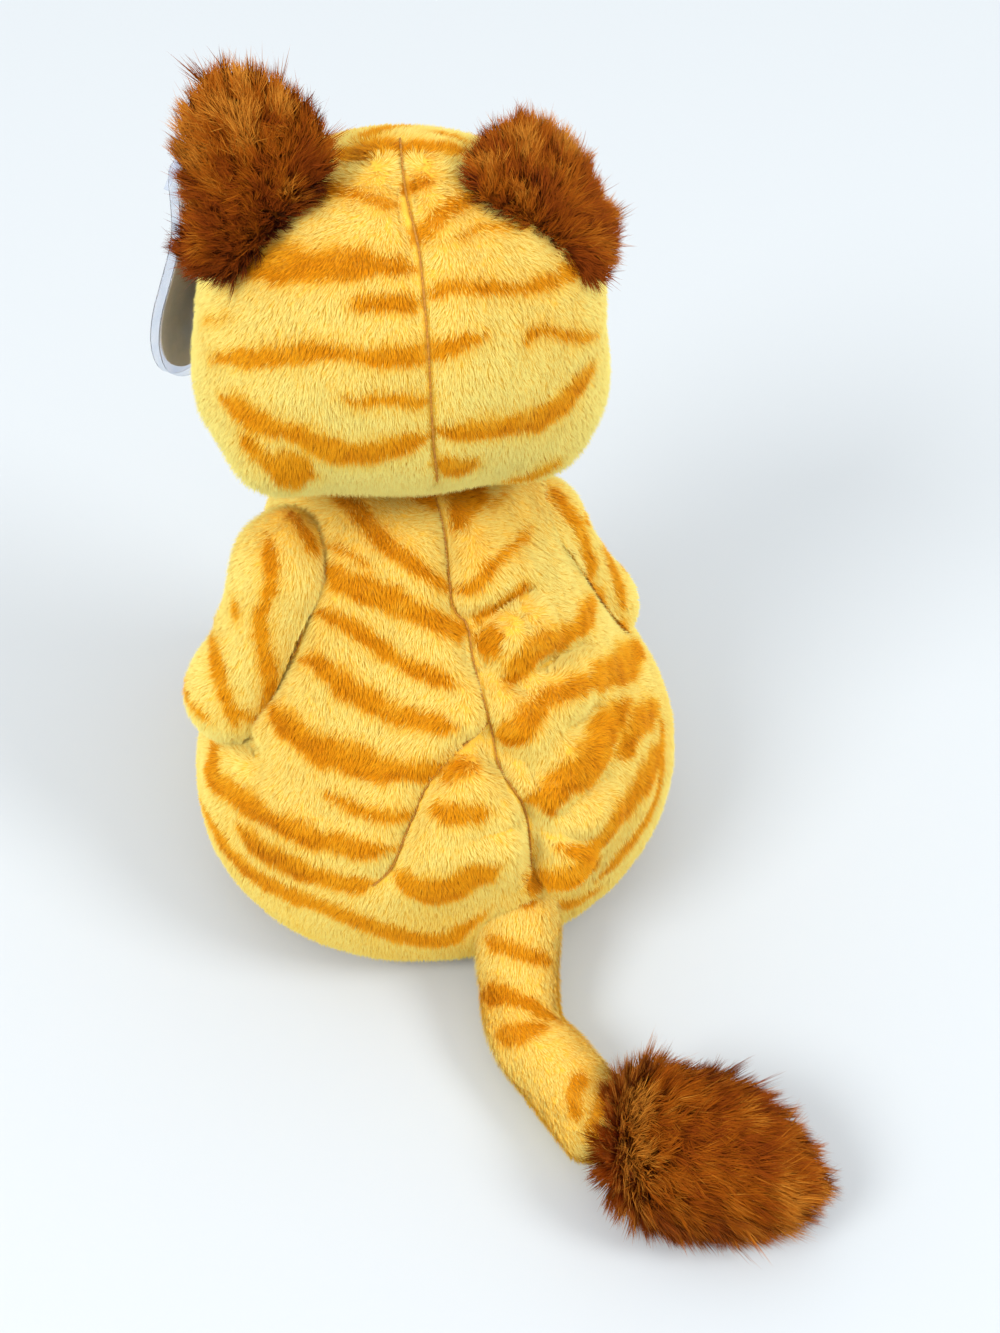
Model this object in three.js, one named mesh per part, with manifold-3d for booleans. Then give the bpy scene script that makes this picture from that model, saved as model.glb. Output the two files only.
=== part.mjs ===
// A seated, striped plush animal with a bean-filled seat, big pile ears and a tufted tail.
// Millimetres, +Z up. It faces -Y, so its left side is +X. The origin is on the floor,
// in the middle of the flat patch that the seat rests on.
import * as THREE from 'three';
import Module from 'manifold-3d';
import { mergeVertices } from 'three/addons/utils/BufferGeometryUtils.js';

const wasm = await Module();
wasm.setup();

const { degToRad } = THREE.MathUtils;
const xAxis = new THREE.Vector3(1, 0, 0);
const yAxis = new THREE.Vector3(0, 1, 0);
const zAxis = new THREE.Vector3(0, 0, 1);

// Common fits
const seam = 0.3;
const swingGap = 0.6;
const coverWall = 1.5;
const floorSink = 0.5;

// Torso: a pear that leans forward from a wide seat to the neck
const torsoHeight = 98;
const seatHalfWidth = 55;
const seatBack = 48;
const bellyFront = 48;
const pelletDepth = 32;

// Neck: a stuffed ball held between the torso and the head
const neckRadius = 14;
const neckForward = 21;
const neckHeight = 98;

// Head
const headHalfWidth = 40;
const headHalfDepth = 34;
const headHalfHeight = 35;
const headForward = 21;
const headHeight = 134;
const headTurn = degToRad(-11);
const headTilt = degToRad(-5);

// Ears, which fold about the chord that they are sewn along
const earHalfWidth = 17;
const earRise = 23;
const earHalfThickness = 4.2;
const earFold = { left: [-15, 18], right: [-30, 0] };
const earLean = { left: degToRad(34), right: degToRad(74) };
const earSweep = { left: degToRad(20), right: degToRad(6) };
const liningThickness = 1.2;

// Face: moulded eyes and nose on stems, each locked by a washer inside the head
const eyeRadius = 5.5;
const eyeDome = 3.4;
const noseRadius = 4.8;
const noseDome = 3.6;
const stemRadius = 1.8;
const stemTail = 2;
const washerRadius = 5.5;
const washerThickness = 1.2;
const muzzleHalfWidth = 15;
const muzzleHalfHeight = 10.5;
const muzzleReach = 9;

// Limbs, which turn on a ball let into the torso
const armRadius = 10;
const shoulderRadius = 11.5;
const shoulder = new THREE.Vector3(24, -15, 84);
const armSwing = [-70, 10];
const legRadius = 14;
const hipRadius = 17;
const hip = new THREE.Vector3(31, -25, 17);
const legSwing = [-35, 0];

// Tail in two stuffed lengths and its tuft. A heading is measured from +Y towards -X.
const tailRadius = 8.6;
const tailRootRadius = 8.6;
const tailRoot = new THREE.Vector3(-2.5, 46, 14);
const tailRootLength = 23;
const tailRootHeading = degToRad(-17);
const tailLift = [0, 40];
const tailEndLength = 29;
const tailEndHeading = degToRad(10);
const tailBend = [-30, 30];
const tuftHalfLength = 23;
const tuftHalfWidth = 16;
const tuftHalfHeight = 13;
const tuftHeading = degToRad(52);
const tuftBend = [-25, 25];

// Folded card in a clear two-part protector, on a thin fastener that pierces the head
const cardHalfSize = 16;
const cardCorner = 13;
const cardThickness = 1;
const protectorRim = 1.5;
const protectorWall = 0.6;
const tabRadius = 3.6;
const tabRise = 3;
const tagHoleRadius = 1.6;
const wireRadius = 0.5;
const wireHead = 4;
const wireSpotShares = [0.757, 0.541];
const wireLength = 12.75;
const tagHeading = degToRad(41);

const colours = {
  yellowPlush: 0xffd96a,
  brownPile: 0xa65200,
  creamPlush: 0xfff0c8,
  filling: 0xf4f2ec,
  pelletBag: 0xd8d4c8,
  blackPlastic: 0x15100e,
  whitePlastic: 0xe8e8e4,
  clearPlastic: 0xdfe6f2,
  card: 0xe9e2d4,
};

// Reading and writing solids

function asSolid(geometry) {
  const plain = geometry.clone();
  plain.deleteAttribute('normal');
  plain.deleteAttribute('uv');
  const merged = mergeVertices(plain);
  const corners = merged.index.array;
  const kept = [];
  for (let i = 0; i < corners.length; i += 3) {
    const [a, b, c] = corners.slice(i, i + 3);
    if (a !== b && b !== c && c !== a) kept.push(a, b, c);
  }
  return new wasm.Manifold(new wasm.Mesh({
    numProp: 3,
    vertProperties: Float32Array.from(merged.attributes.position.array),
    triVerts: Uint32Array.from(kept),
  }));
}

function asGeometry(solid) {
  const mesh = solid.getMesh();
  const geometry = new THREE.BufferGeometry();
  geometry.setAttribute('position', new THREE.BufferAttribute(mesh.vertProperties, 3));
  geometry.setIndex(new THREE.BufferAttribute(mesh.triVerts, 1));
  geometry.computeVertexNormals();
  return geometry;
}

function piece(name, solid, colour, roughness) {
  const material = new THREE.MeshStandardMaterial({ color: colour, roughness, metalness: 0 });
  const mesh = new THREE.Mesh(asGeometry(solid), material);
  mesh.name = name;
  return mesh;
}

function plush(name, solid, colour = colours.yellowPlush) {
  return piece(name, solid, colour, 0.95);
}

function plastic(name, solid, colour) {
  return piece(name, solid, colour, 0.3);
}

// Basic forms

// A closed skin over rings of points that run anticlockwise, with a pole at each end
function skinOver(rings, firstPole, lastPole) {
  const sides = rings[0].length;
  const points = [firstPole, ...rings.flat(), lastPole];
  const last = points.length - 1;
  const index = [];
  for (let side = 0; side < sides; side += 1) {
    const next = (side + 1) % sides;
    index.push(0, 1 + next, 1 + side);
    for (let ring = 0; ring < rings.length - 1; ring += 1) {
      const here = 1 + ring * sides;
      const above = here + sides;
      index.push(here + side, here + next, above + next);
      index.push(here + side, above + next, above + side);
    }
    index.push(last, last - sides + side, last - sides + next);
  }
  const geometry = new THREE.BufferGeometry().setFromPoints(points);
  geometry.setIndex(index);
  return asSolid(geometry);
}

// Points round an ellipse that is set out by its centre and two half-axes
function ringOf(sides, centre, across, over) {
  return Array.from({ length: sides }, (_, k) => {
    const turn = (2 * Math.PI * k) / sides;
    return centre.clone().addScaledVector(across, Math.cos(turn)).addScaledVector(over, Math.sin(turn));
  });
}

// A stuffed length along a spine, which swells and tapers by shares of its radius
function stuffedForm({ spine, radius, swellShares, level = zAxis, sides = 10, rings = 7, capShare = 0.2 }) {
  const curve = new THREE.CatmullRomCurve3(spine, false, 'centripetal');
  const swell = new THREE.SplineCurve(swellShares.map((share, i) => new THREE.Vector2(i, share)));
  const skins = Array.from({ length: rings }, (_, i) => {
    const t = (1 - Math.cos((Math.PI * (i + 1)) / (rings + 1))) / 2;
    const along = curve.getTangentAt(t);
    const across = level.clone().cross(along).normalize();
    const over = along.clone().cross(across);
    const fromEnd = Math.min(t, 1 - t, capShare) / capShare;
    const half = radius * swell.getPoint(t).y * Math.sqrt(1 - (1 - fromEnd) ** 2);
    return ringOf(sides, curve.getPointAt(t), across.multiplyScalar(half), over.multiplyScalar(half));
  });
  return skinOver(skins, spine[0], spine.at(-1));
}

function egg(centre, halfX, halfY, halfZ, steps) {
  const geometry = new THREE.SphereGeometry(1, steps, Math.round(steps * 0.65)).rotateX(Math.PI / 2);
  return asSolid(geometry.scale(halfX, halfY, halfZ).translate(centre.x, centre.y, centre.z));
}

function ball(centre, radius, steps) {
  return egg(centre, radius, radius, radius, steps);
}

// A turned form about +Z, from a profile of radius and height that runs upwards on the outside
function turned(profile, steps = 12) {
  const outline = profile.map(([radius, height]) => new THREE.Vector2(radius, height));
  return asSolid(new THREE.LatheGeometry(outline, steps).rotateX(Math.PI / 2));
}

function rod(radius, low, high, steps = 12) {
  return turned([[0, low], [radius, low], [radius, high], [0, high]], steps);
}

function box(low, high) {
  const size = high.clone().sub(low);
  const centre = low.clone().add(high).divideScalar(2);
  return asSolid(new THREE.BoxGeometry(size.x, size.y, size.z).translate(centre.x, centre.y, centre.z));
}

const reach = 4 * torsoHeight;
const underFloor = box(new THREE.Vector3(-reach, -reach, -reach), new THREE.Vector3(reach, reach, 0));

// Moving and fitting forms

function turnedAbout(solid, pivot, axis, angle) {
  const matrix = new THREE.Matrix4().makeTranslation(pivot)
    .multiply(new THREE.Matrix4().makeRotationAxis(axis, angle))
    .multiply(new THREE.Matrix4().makeTranslation(pivot.clone().negate()));
  return solid.transform(matrix.elements);
}

// Stands a form that was made along +Z on a spot, pointing straight out of it
function stoodOn(solid, { place, out }) {
  const turn = new THREE.Quaternion().setFromUnitVectors(zAxis, out);
  return solid.transform(new THREE.Matrix4().compose(place, turn, new THREE.Vector3(1, 1, 1)).elements);
}

// The body of a cut form that lies furthest along a direction, or the largest one
function bestBody(solid, score = (body) => body.volume()) {
  return solid.decompose().reduce((best, body) => (score(body) > score(best) ? body : best));
}

// Trims a form so that it clears its neighbour at rest and in some turns through a hinge's range, in degrees
function clearedThrough(form, neighbour, { pivot, axis, range }, turns = 2) {
  const angles = Array.from({ length: turns + 1 }, (_, i) => THREE.MathUtils.lerp(range[0], range[1], i / turns));
  return bestBody([...new Set([0, ...angles])].reduce(
    (rest, angle) => rest.subtract(turnedAbout(neighbour, pivot, axis, -degToRad(angle))), form));
}

const bothSides = [['left', 1], ['right', -1]];

function onSide(point, side) {
  return new THREE.Vector3(point.x * side, point.y, point.z);
}

// Torso

// Shares of the torso's height, of the seat's half-width, of its back and of the belly's front
const torsoShares = [
  [-0.005, 0.45, 0.48, -0.42],
  [0.012, 0.72, 0.76, -0.70],
  [0.055, 0.90, 0.94, -0.86],
  [0.13, 0.98, 0.99, -0.94],
  [0.22, 1.00, 1.00, -0.98],
  [0.32, 0.97, 0.98, -1.00],
  [0.42, 0.885, 0.94, -1.00],
  [0.52, 0.775, 0.84, -1.00],
  [0.62, 0.69, 0.68, -1.00],
  [0.73, 0.625, 0.48, -0.99],
  [0.83, 0.575, 0.28, -0.96],
  [0.91, 0.51, 0.13, -0.91],
  [0.965, 0.40, -0.02, -0.83],
  [0.995, 0.22, -0.20, -0.66],
];

function torsoForm(inset, sides, rings) {
  const widths = new THREE.CatmullRomCurve3(torsoShares.map(([height, width]) => (
    new THREE.Vector3(height * torsoHeight, width * seatHalfWidth, 0))));
  const depths = new THREE.CatmullRomCurve3(torsoShares.map(([height, , back, front]) => (
    new THREE.Vector3(height * torsoHeight, back * seatBack, front * bellyFront))));
  const low = -floorSink + inset;
  const high = torsoHeight - inset;
  const skins = Array.from({ length: rings }, (_, i) => {
    const { x: height, y: halfWidth } = widths.getPoint(i / (rings - 1));
    const { y: back, z: front } = depths.getPoint(i / (rings - 1));
    const level = THREE.MathUtils.mapLinear(height, -floorSink, torsoHeight, low, high);
    const centre = new THREE.Vector3(0, (back + front) / 2, level);
    const across = xAxis.clone().multiplyScalar(halfWidth - inset);
    return ringOf(sides, centre, across, yAxis.clone().multiplyScalar((back - front) / 2 - inset));
  });
  return skinOver(skins, new THREE.Vector3(0, 0, low), new THREE.Vector3(0, -neckForward, high));
}

// Faces round each form
const torsoSides = 20;
const torsoRings = 11;
const liningSides = 12;
const liningRings = 7;
const headSteps = 18;
const headLiningSteps = 16;
const neckSteps = 16;
const hingeSteps = 16;
const hingeRings = 6;
const tailSides = 10;
const softSteps = 12;

// How far a form of flat faces has to grow to hold the round form that it stands for
function fuller(radius, steps) {
  return radius / Math.cos(Math.PI / steps) ** 2;
}

const neckPivot = new THREE.Vector3(0, -neckForward, neckHeight);

// A hollow that a ball of some radius can turn in
function socket(centre, radius, steps) {
  return ball(centre, fuller(radius, steps) + seam, steps);
}

// A ball that turns about one axis, with its poles on that axis, and the socket that it turns in
function hingeBall(centre, radius, axis) {
  const geometry = new THREE.SphereGeometry(radius, hingeSteps, hingeRings).rotateY(Math.PI / (4.3 * hingeSteps));
  geometry.applyQuaternion(new THREE.Quaternion().setFromUnitVectors(yAxis, axis));
  return asSolid(geometry.translate(centre.x, centre.y, centre.z));
}

function hingeSocket(centre, radius, axis) {
  return hingeBall(centre, radius / Math.cos(Math.PI / hingeSteps) + seam, axis);
}

const torsoSockets = [
  socket(neckPivot, neckRadius, neckSteps),
  hingeSocket(tailRoot, tailRootRadius, xAxis),
  ...bothSides.map(([, side]) => hingeSocket(onSide(shoulder, side), shoulderRadius, xAxis)),
  ...bothSides.map(([, side]) => hingeSocket(onSide(hip, side), hipRadius, xAxis)),
];

function withSockets(solid) {
  return bestBody(torsoSockets.reduce((rest, socket) => rest.subtract(socket), solid));
}

const torsoSkin = torsoForm(0, torsoSides, torsoRings).subtract(underFloor);
const torsoCover = withSockets(torsoSkin.subtract(torsoForm(coverWall, liningSides, liningRings)));
const torsoStuffing = torsoForm(coverWall + seam, liningSides, liningRings);
const pelletSpace = box(new THREE.Vector3(-reach, -reach, 0), new THREE.Vector3(reach, reach, pelletDepth));
const aboveBag = box(
  new THREE.Vector3(-reach, -reach, pelletDepth + seam), new THREE.Vector3(reach, reach, reach));

// What a limb or the tail has to keep off: the torso, fuller by what a swinging limb needs
const clearSides = 20;
const clearRings = 10;
const torsoToClear = torsoForm(
  seatHalfWidth - fuller(seatHalfWidth, clearSides) - swingGap, clearSides, clearRings);

// Limbs. Spines are shares of the limb's radius, from its pivot.
const armSpineShares = [
  [0, 0, 0.1], [0.35, 0.25, -0.5], [0.9, 0.65, -1.4], [1.45, 0.8, -2.5], [1.95, 0.75, -3.6], [2.25, 0.65, -4.7]];
const armSwellShares = [0.95, 1.0, 0.94, 1.0, 1.12, 1.08];
const legSpineShares = [
  [0, 0.2, 0], [0, -0.3, 0], [-0.15, -0.9, -0.3], [-0.35, -1.55, -0.3], [-0.6, -2.25, -0.05],
  [-0.7, -2.85, 0.05]];
const legSwellShares = [1.05, 1.08, 1, 0.95, 1.02, 1.04];

function limb({ pivot, side, radius, rootRadius, spineShares, swellShares, level, range, turns }) {
  const from = onSide(pivot, side);
  const spine = spineShares.map(([x, y, z]) => (
    onSide(new THREE.Vector3(x, y, z), side).multiplyScalar(radius).add(from)));
  const form = stuffedForm({ spine, radius, swellShares, level });
  const outside = clearedThrough(form, torsoToClear, { pivot: from, axis: xAxis, range }, turns);
  return outside.add(hingeBall(from, rootRadius, xAxis));
}

function arm(side) {
  return limb({
    pivot: shoulder, side, radius: armRadius, rootRadius: shoulderRadius, spineShares: armSpineShares,
    swellShares: armSwellShares, level: xAxis, range: armSwing, turns: 5,
  });
}

function leg(side) {
  return limb({
    pivot: hip, side, radius: legRadius, rootRadius: hipRadius, spineShares: legSpineShares,
    swellShares: legSwellShares, level: zAxis, range: legSwing, turns: 3,
  }).subtract(underFloor);
}

// Tail and tuft

function towards(heading) {
  return new THREE.Vector3(-Math.sin(heading), Math.cos(heading), 0);
}

const tailLevel = tailRadius - floorSink;
const creasePivot = tailRoot.clone().addScaledVector(towards(tailRootHeading), tailRootLength).setZ(tailLevel);
const tuftPivot = creasePivot.clone().addScaledVector(towards(tailEndHeading), tailEndLength);

function between(start, end, share) {
  return start.clone().lerp(end, share);
}

function tailLength(start, end, radius, swellShares) {
  const spine = [0, 0.33, 0.67, 1].map((share) => between(start, end, share));
  return stuffedForm({ spine, radius, swellShares, sides: tailSides, rings: 5, capShare: 0.04 });
}

const tailRootForm = tailLength(tailRoot, creasePivot, tailRadius, [1.04, 0.98, 0.98, 1])
  .add(hingeBall(creasePivot, tailRadius, zAxis));
const tailEndSwell = [1, 1.04, 1.04, 1];
const tailEndForm = tailLength(creasePivot, tuftPivot, tailRadius, tailEndSwell)
  .add(hingeBall(creasePivot, tailRadius, zAxis))
  .add(hingeBall(tuftPivot, tailRadius, zAxis));
const tailEndToClear = tailLength(creasePivot, tuftPivot, tailRadius + 2 * seam, tailEndSwell);
const creaseHinge = { pivot: creasePivot, axis: zAxis, range: tailBend };
const tuftHinge = { pivot: tuftPivot, axis: zAxis, range: tuftBend };

function tailRootSolid() {
  const lifted = clearedThrough(
    tailRootForm, torsoToClear, { pivot: tailRoot, axis: xAxis, range: tailLift });
  return clearedThrough(lifted, tailEndToClear, creaseHinge)
    .subtract(hingeSocket(creasePivot, tailRadius, zAxis))
    .add(hingeBall(tailRoot, tailRootRadius, xAxis)).subtract(underFloor);
}

function tuftSolid() {
  const tuckShare = 0.85;
  const centre = tuftPivot.clone().addScaledVector(towards(tuftHeading), tuftHalfLength * tuckShare);
  centre.z = tuftHalfHeight - floorSink;
  const form = egg(new THREE.Vector3(), tuftHalfWidth, tuftHalfLength, tuftHalfHeight, softSteps);
  const turn = new THREE.Matrix4().makeRotationZ(tuftHeading).setPosition(centre);
  return clearedThrough(form.transform(turn.elements), tailEndToClear, tuftHinge)
    .subtract(hingeSocket(tuftPivot, tailRadius, zAxis)).subtract(underFloor);
}

// Head, in its own group: everything below is in the head's frame, with its centre at zero

const headGroup = new THREE.Group();
headGroup.position.set(0, -headForward, headHeight);
headGroup.rotation.set(0, headTilt, headTurn, 'ZYX');
headGroup.updateMatrixWorld();
const neckInHead = headGroup.worldToLocal(neckPivot.clone());
const headCentre = new THREE.Vector3();

// A wide soft egg, a little fuller at the cheeks
function headForm(inset, steps) {
  const cheekShare = 0.22;
  const geometry = new THREE.SphereGeometry(1, steps, Math.round(steps * 0.65)).rotateX(Math.PI / 2);
  const place = geometry.attributes.position;
  for (let i = 0; i < place.count; i += 1) {
    place.setX(i, place.getX(i) * (1 + cheekShare * Math.max(0, -place.getZ(i))));
  }
  return asSolid(geometry.scale(headHalfWidth - inset, headHalfDepth - inset, headHalfHeight - inset));
}

// A spot on an egg's skin: its place, and the direction straight out. Facing is 1 at the back.
function onEgg(centre, half, acrossShare, upShare, facing) {
  const y = facing * Math.sqrt(1 - acrossShare ** 2 - upShare ** 2);
  const onUnit = new THREE.Vector3(acrossShare, y, upShare);
  return { place: onUnit.clone().multiply(half).add(centre), out: onUnit.divide(half).normalize() };
}

const headHalf = new THREE.Vector3(headHalfWidth, headHalfDepth, headHalfHeight);
const muzzleHalf = new THREE.Vector3(muzzleHalfWidth, muzzleReach, muzzleHalfHeight);
const headSocket = socket(neckInHead, neckRadius, neckSteps);
const headToClear = headForm(-seam, headSteps);

// Face fittings
const washerDip = washerRadius ** 2 / headHalfDepth;
const liningDip = fuller(headHalfWidth, headLiningSteps) - headHalfWidth;
const washerDepth = coverWall + washerDip + liningDip + seam;

function button(radius, dome, stem) {
  const rimShare = 0.2;
  const rim = dome * rimShare;
  const arc = [0, 0.3, 0.6, 0.85].map((share) => {
    const turn = (share * Math.PI) / 2;
    return [radius * Math.cos(turn), rim + (dome - rim) * Math.sin(turn)];
  });
  return turned([[0, -stem], [stemRadius, -stem], [stemRadius, 0], [radius, 0], ...arc, [0, dome]]);
}

const muzzleCentre = onEgg(headCentre, headHalf, 0, -0.28, -1).place;
const noseSpot = { place: onEgg(muzzleCentre, muzzleHalf, 0, 0.45, -1).place, out: yAxis.clone().negate() };
const skinBehindNose = onEgg(headCentre, headHalf, 0, noseSpot.place.z / headHalfHeight, -1);
const noseDepth = skinBehindNose.place.y - noseSpot.place.y;

// Each fitting: where it stands, how deep the head's skin lies under it, and its washer's seat
const fittings = [
  { name: 'left_eye', spot: onEgg(headCentre, headHalf, 0.38, 0.12, -1), depth: seam },
  { name: 'right_eye', spot: onEgg(headCentre, headHalf, -0.38, 0.12, -1), depth: seam },
  { name: 'nose', spot: noseSpot, depth: noseDepth },
];
for (const fitting of fittings) {
  const isNose = fitting.name === 'nose';
  fitting.seat = { out: fitting.spot.out, place: fitting.spot.place.clone() };
  if (!isNose) fitting.seat.place.addScaledVector(fitting.spot.out, seam);
  fitting.washerTop = -(fitting.depth + washerDepth);
  const stem = -fitting.washerTop + washerThickness + stemTail;
  const [radius, dome] = isNose ? [noseRadius, noseDome] : [eyeRadius, eyeDome];
  fitting.solid = stoodOn(button(radius, dome, stem), fitting.seat);
  fitting.hole = stoodOn(rod(stemRadius + seam, -(stem + seam), dome), fitting.seat);
  fitting.pocket = stoodOn(
    rod(washerRadius + seam, fitting.washerTop - washerThickness - seam, fitting.washerTop + seam), fitting.seat);
}

function washer(fitting) {
  const bore = stemRadius + seam;
  const low = fitting.washerTop - washerThickness;
  const ring = [[bore, low], [washerRadius, low], [washerRadius, low + washerThickness], [bore, low + washerThickness]];
  return stoodOn(turned([...ring, ring[0]]), fitting.seat);
}

function withHoles(solid) {
  return fittings.reduce((rest, fitting) => rest.subtract(fitting.hole), solid);
}

const headCover = withHoles(headForm(0, headSteps).subtract(headForm(coverWall, headLiningSteps)).subtract(headSocket));
const headFilling = fittings.reduce(
  (rest, fitting) => rest.subtract(fitting.pocket),
  withHoles(headForm(coverWall + seam, headLiningSteps).subtract(headSocket)));
const nosePocket = stoodOn(rod(noseRadius + seam, -seam, muzzleReach), noseSpot);
const muzzle = withHoles(egg(muzzleCentre, muzzleHalfWidth, muzzleReach, muzzleHalfHeight, softSteps)
  .subtract(headToClear).subtract(nosePocket));

// Ears. The chord runs from the side of the head up to beside the crown.
const earLowShares = [0.86, 0.4];
const earHighShares = [0.33, 0.935];

function earHinge(name, side) {
  const low = onEgg(headCentre, headHalf, side * earLowShares[0], earLowShares[1], 1).place;
  const high = onEgg(headCentre, headHalf, side * earHighShares[0], earHighShares[1], 1).place;
  const chord = high.clone().sub(low).normalize();
  const middle = between(low, high, 0.5);
  const skin = middle.clone().divideScalar(middle.clone().divide(headHalf).length());
  const out = skin.clone().divide(headHalf).divide(headHalf);
  const upright = out.addScaledVector(chord, -out.dot(chord)).normalize();
  const leaning = upright.applyAxisAngle(chord, -side * earLean[name]);
  const front = chord.clone().cross(leaning).multiplyScalar(-side);
  const rise = leaning.applyAxisAngle(front, side * earSweep[name]);
  return { pivot: skin, axis: chord.clone().multiplyScalar(-side), range: earFold[name], chord, rise, front, side };
}

// An ear pad: a rounded fan, thick at the root and thin at the rim
function earPad({ pivot, chord, rise, front, side }, outlineShare, halfThickness) {
  const rings = 7;
  const skins = Array.from({ length: rings }, (_, i) => {
    const share = Math.sin((Math.PI / 2) * ((i + 1) / (rings + 0.6)));
    const height = THREE.MathUtils.lerp(-earHalfThickness, earRise * outlineShare, share);
    const up = Math.max(0, height) / (earRise * outlineShare);
    const half = earHalfWidth * outlineShare * (0.94 + 0.12 * up) * Math.sqrt(1 - up ** 3);
    const thick = halfThickness * Math.sqrt(1 - 0.9 * up ** 3);
    return ringOf(12, pivot.clone().addScaledVector(rise, height),
      chord.clone().multiplyScalar(half), front.clone().multiplyScalar(thick * side));
  });
  const footShare = 1.2;
  const foot = pivot.clone().addScaledVector(rise, -footShare * earHalfThickness);
  return skinOver(skins, foot, pivot.clone().addScaledVector(rise, earRise * outlineShare));
}

function ear(hinge) {
  return clearedThrough(earPad(hinge, 1, earHalfThickness), headToClear, hinge);
}

function earLining(hinge) {
  const outer = earPad(hinge, 0.8, earHalfThickness + seam + liningThickness);
  const shells = outer.subtract(earPad(hinge, 1, earHalfThickness + seam));
  const frontShare = (body) => {
    const { min, max } = body.boundingBox();
    const middle = between(new THREE.Vector3(...min), new THREE.Vector3(...max), 0.5);
    return hinge.front.dot(middle.sub(hinge.pivot)) * body.volume();
  };
  return clearedThrough(bestBody(shells, frontShare), headToClear, hinge);
}

// Tag: a card between two clear trays, in a group that hangs from the fastener's wire

const tagOut = new THREE.Vector3(Math.sin(tagHeading), -Math.cos(tagHeading), 0);
const wireSpot = onEgg(headCentre, headHalf, ...wireSpotShares, -1).place.applyMatrix4(headGroup.matrixWorld);
const tagHole = wireSpot.addScaledVector(tagOut, wireLength);
const tagGroup = new THREE.Group();
tagGroup.position.copy(tagHole);
tagGroup.rotation.z = tagHeading;
const cardMiddle = -(cardHalfSize + protectorRim + tabRise);

function roundedOutline(half, corner) {
  const outline = new THREE.Shape();
  const straight = half - corner;
  outline.absarc(straight, straight, corner, 0, Math.PI / 2);
  outline.absarc(-straight, straight, corner, Math.PI / 2, Math.PI);
  outline.absarc(-straight, -straight, corner, Math.PI, 1.5 * Math.PI);
  outline.absarc(straight, -straight, corner, 1.5 * Math.PI, 2 * Math.PI);
  return outline;
}

// A plate that stands upright, with its outline in X and Z and its thickness from near to far in Y
function uprightPlate(outline, near, far) {
  const geometry = new THREE.ExtrudeGeometry(outline, { depth: far - near, bevelEnabled: false, curveSegments: 4 });
  return asSolid(geometry.rotateX(Math.PI / 2).translate(0, far, 0));
}

function sheet(half, corner, near, far) {
  return uprightPlate(roundedOutline(half, corner), near, far).translate([0, 0, cardMiddle]);
}

function protectorHalf(facing) {
  const inside = cardThickness / 2 + seam;
  const outside = inside + protectorWall;
  const [near, far] = facing > 0 ? [seam / 2, outside] : [-outside, -seam / 2];
  const rimHalf = cardHalfSize + seam + protectorRim;
  const tray = sheet(rimHalf, cardCorner + seam + protectorRim, near, far);
  const hollow = sheet(cardHalfSize + seam, cardCorner + seam, -inside, inside);
  const tab = new THREE.Shape().absarc(0, 0, tabRadius, 0, 2 * Math.PI);
  const hole = rod(tagHoleRadius, -outside - seam, outside + seam).transform(
    new THREE.Matrix4().makeRotationX(Math.PI / 2).elements);
  return tray.add(uprightPlate(tab, near, far)).subtract(hollow).subtract(hole);
}

const tagThickness = cardThickness + 2 * (seam + protectorWall);

// The fastener is a straight wire out of the head, with a bar that keeps the tag on
function fastener() {
  const wire = rod(wireRadius, -headHalfWidth, tagThickness / 2 + seam + wireRadius, 8);
  const bar = rod(wireRadius, -wireHead, wireHead, 8).transform(new THREE.Matrix4().makeRotationY(Math.PI / 2)
    .setPosition(0, 0, tagThickness / 2 + seam + wireRadius).elements);
  const inWorld = stoodOn(wire.add(bar), { place: tagHole, out: tagOut });
  return bestBody(inWorld.transform(headGroup.matrixWorld.clone().invert().elements).subtract(headToClear),
    (body) => body.boundingBox().max[0]);
}

// Assembly

const group = new THREE.Group();
group.add(
  plush('torso_cover', torsoCover),
  plush('torso_filling', withSockets(torsoStuffing.intersect(aboveBag)), colours.filling),
  plush('pellet_bag', withSockets(torsoStuffing.intersect(pelletSpace)), colours.pelletBag),
  plush('neck', ball(neckPivot, neckRadius, neckSteps)),
  plush('tail_root', tailRootSolid()),
  plush('tail_end', tailEndForm.subtract(underFloor)),
  plush('tail_tuft', tuftSolid(), colours.brownPile),
  headGroup,
  tagGroup,
);
headGroup.add(
  plush('head_cover', headCover),
  plush('head_filling', headFilling, colours.filling),
  plush('muzzle', muzzle, colours.creamPlush),
  plastic('tag_fastener', fastener(), colours.clearPlastic),
);
for (const fitting of fittings) {
  headGroup.add(plastic(fitting.name, fitting.solid, colours.blackPlastic));
  headGroup.add(plastic(`${fitting.name}_washer`, washer(fitting), colours.whitePlastic));
}
for (const [name, side] of bothSides) {
  const hinge = earHinge(name, side);
  headGroup.add(plush(`${name}_ear`, ear(hinge), colours.brownPile));
  headGroup.add(plush(`${name}_ear_lining`, earLining(hinge), colours.creamPlush));
  group.add(plush(`${name}_arm`, arm(side)));
  group.add(plush(`${name}_leg`, leg(side)));
}
tagGroup.add(
  piece('tag_card', sheet(cardHalfSize, cardCorner, -cardThickness / 2, cardThickness / 2), colours.card, 0.6),
  plastic('tag_protector_back', protectorHalf(1), colours.clearPlastic),
  plastic('tag_protector_front', protectorHalf(-1), colours.clearPlastic),
);

export default group;
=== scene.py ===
# %% [markdown]
# # A seated, striped plush animal
# The real one is sewn from short pile cloth, stuffed with wadding and weighted with a bag of pellets.
# Its ears and the tuft of its tail are cut from a long shaggy pile. In Blender each sewn part becomes
# a closed, softly shaped skin, and real little blades of pile grow out of that skin. Pile made of
# geometry catches light, parts at the seams and frays the outline, which a flat texture can't do.

# %% Open the fixed frame
import math

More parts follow.
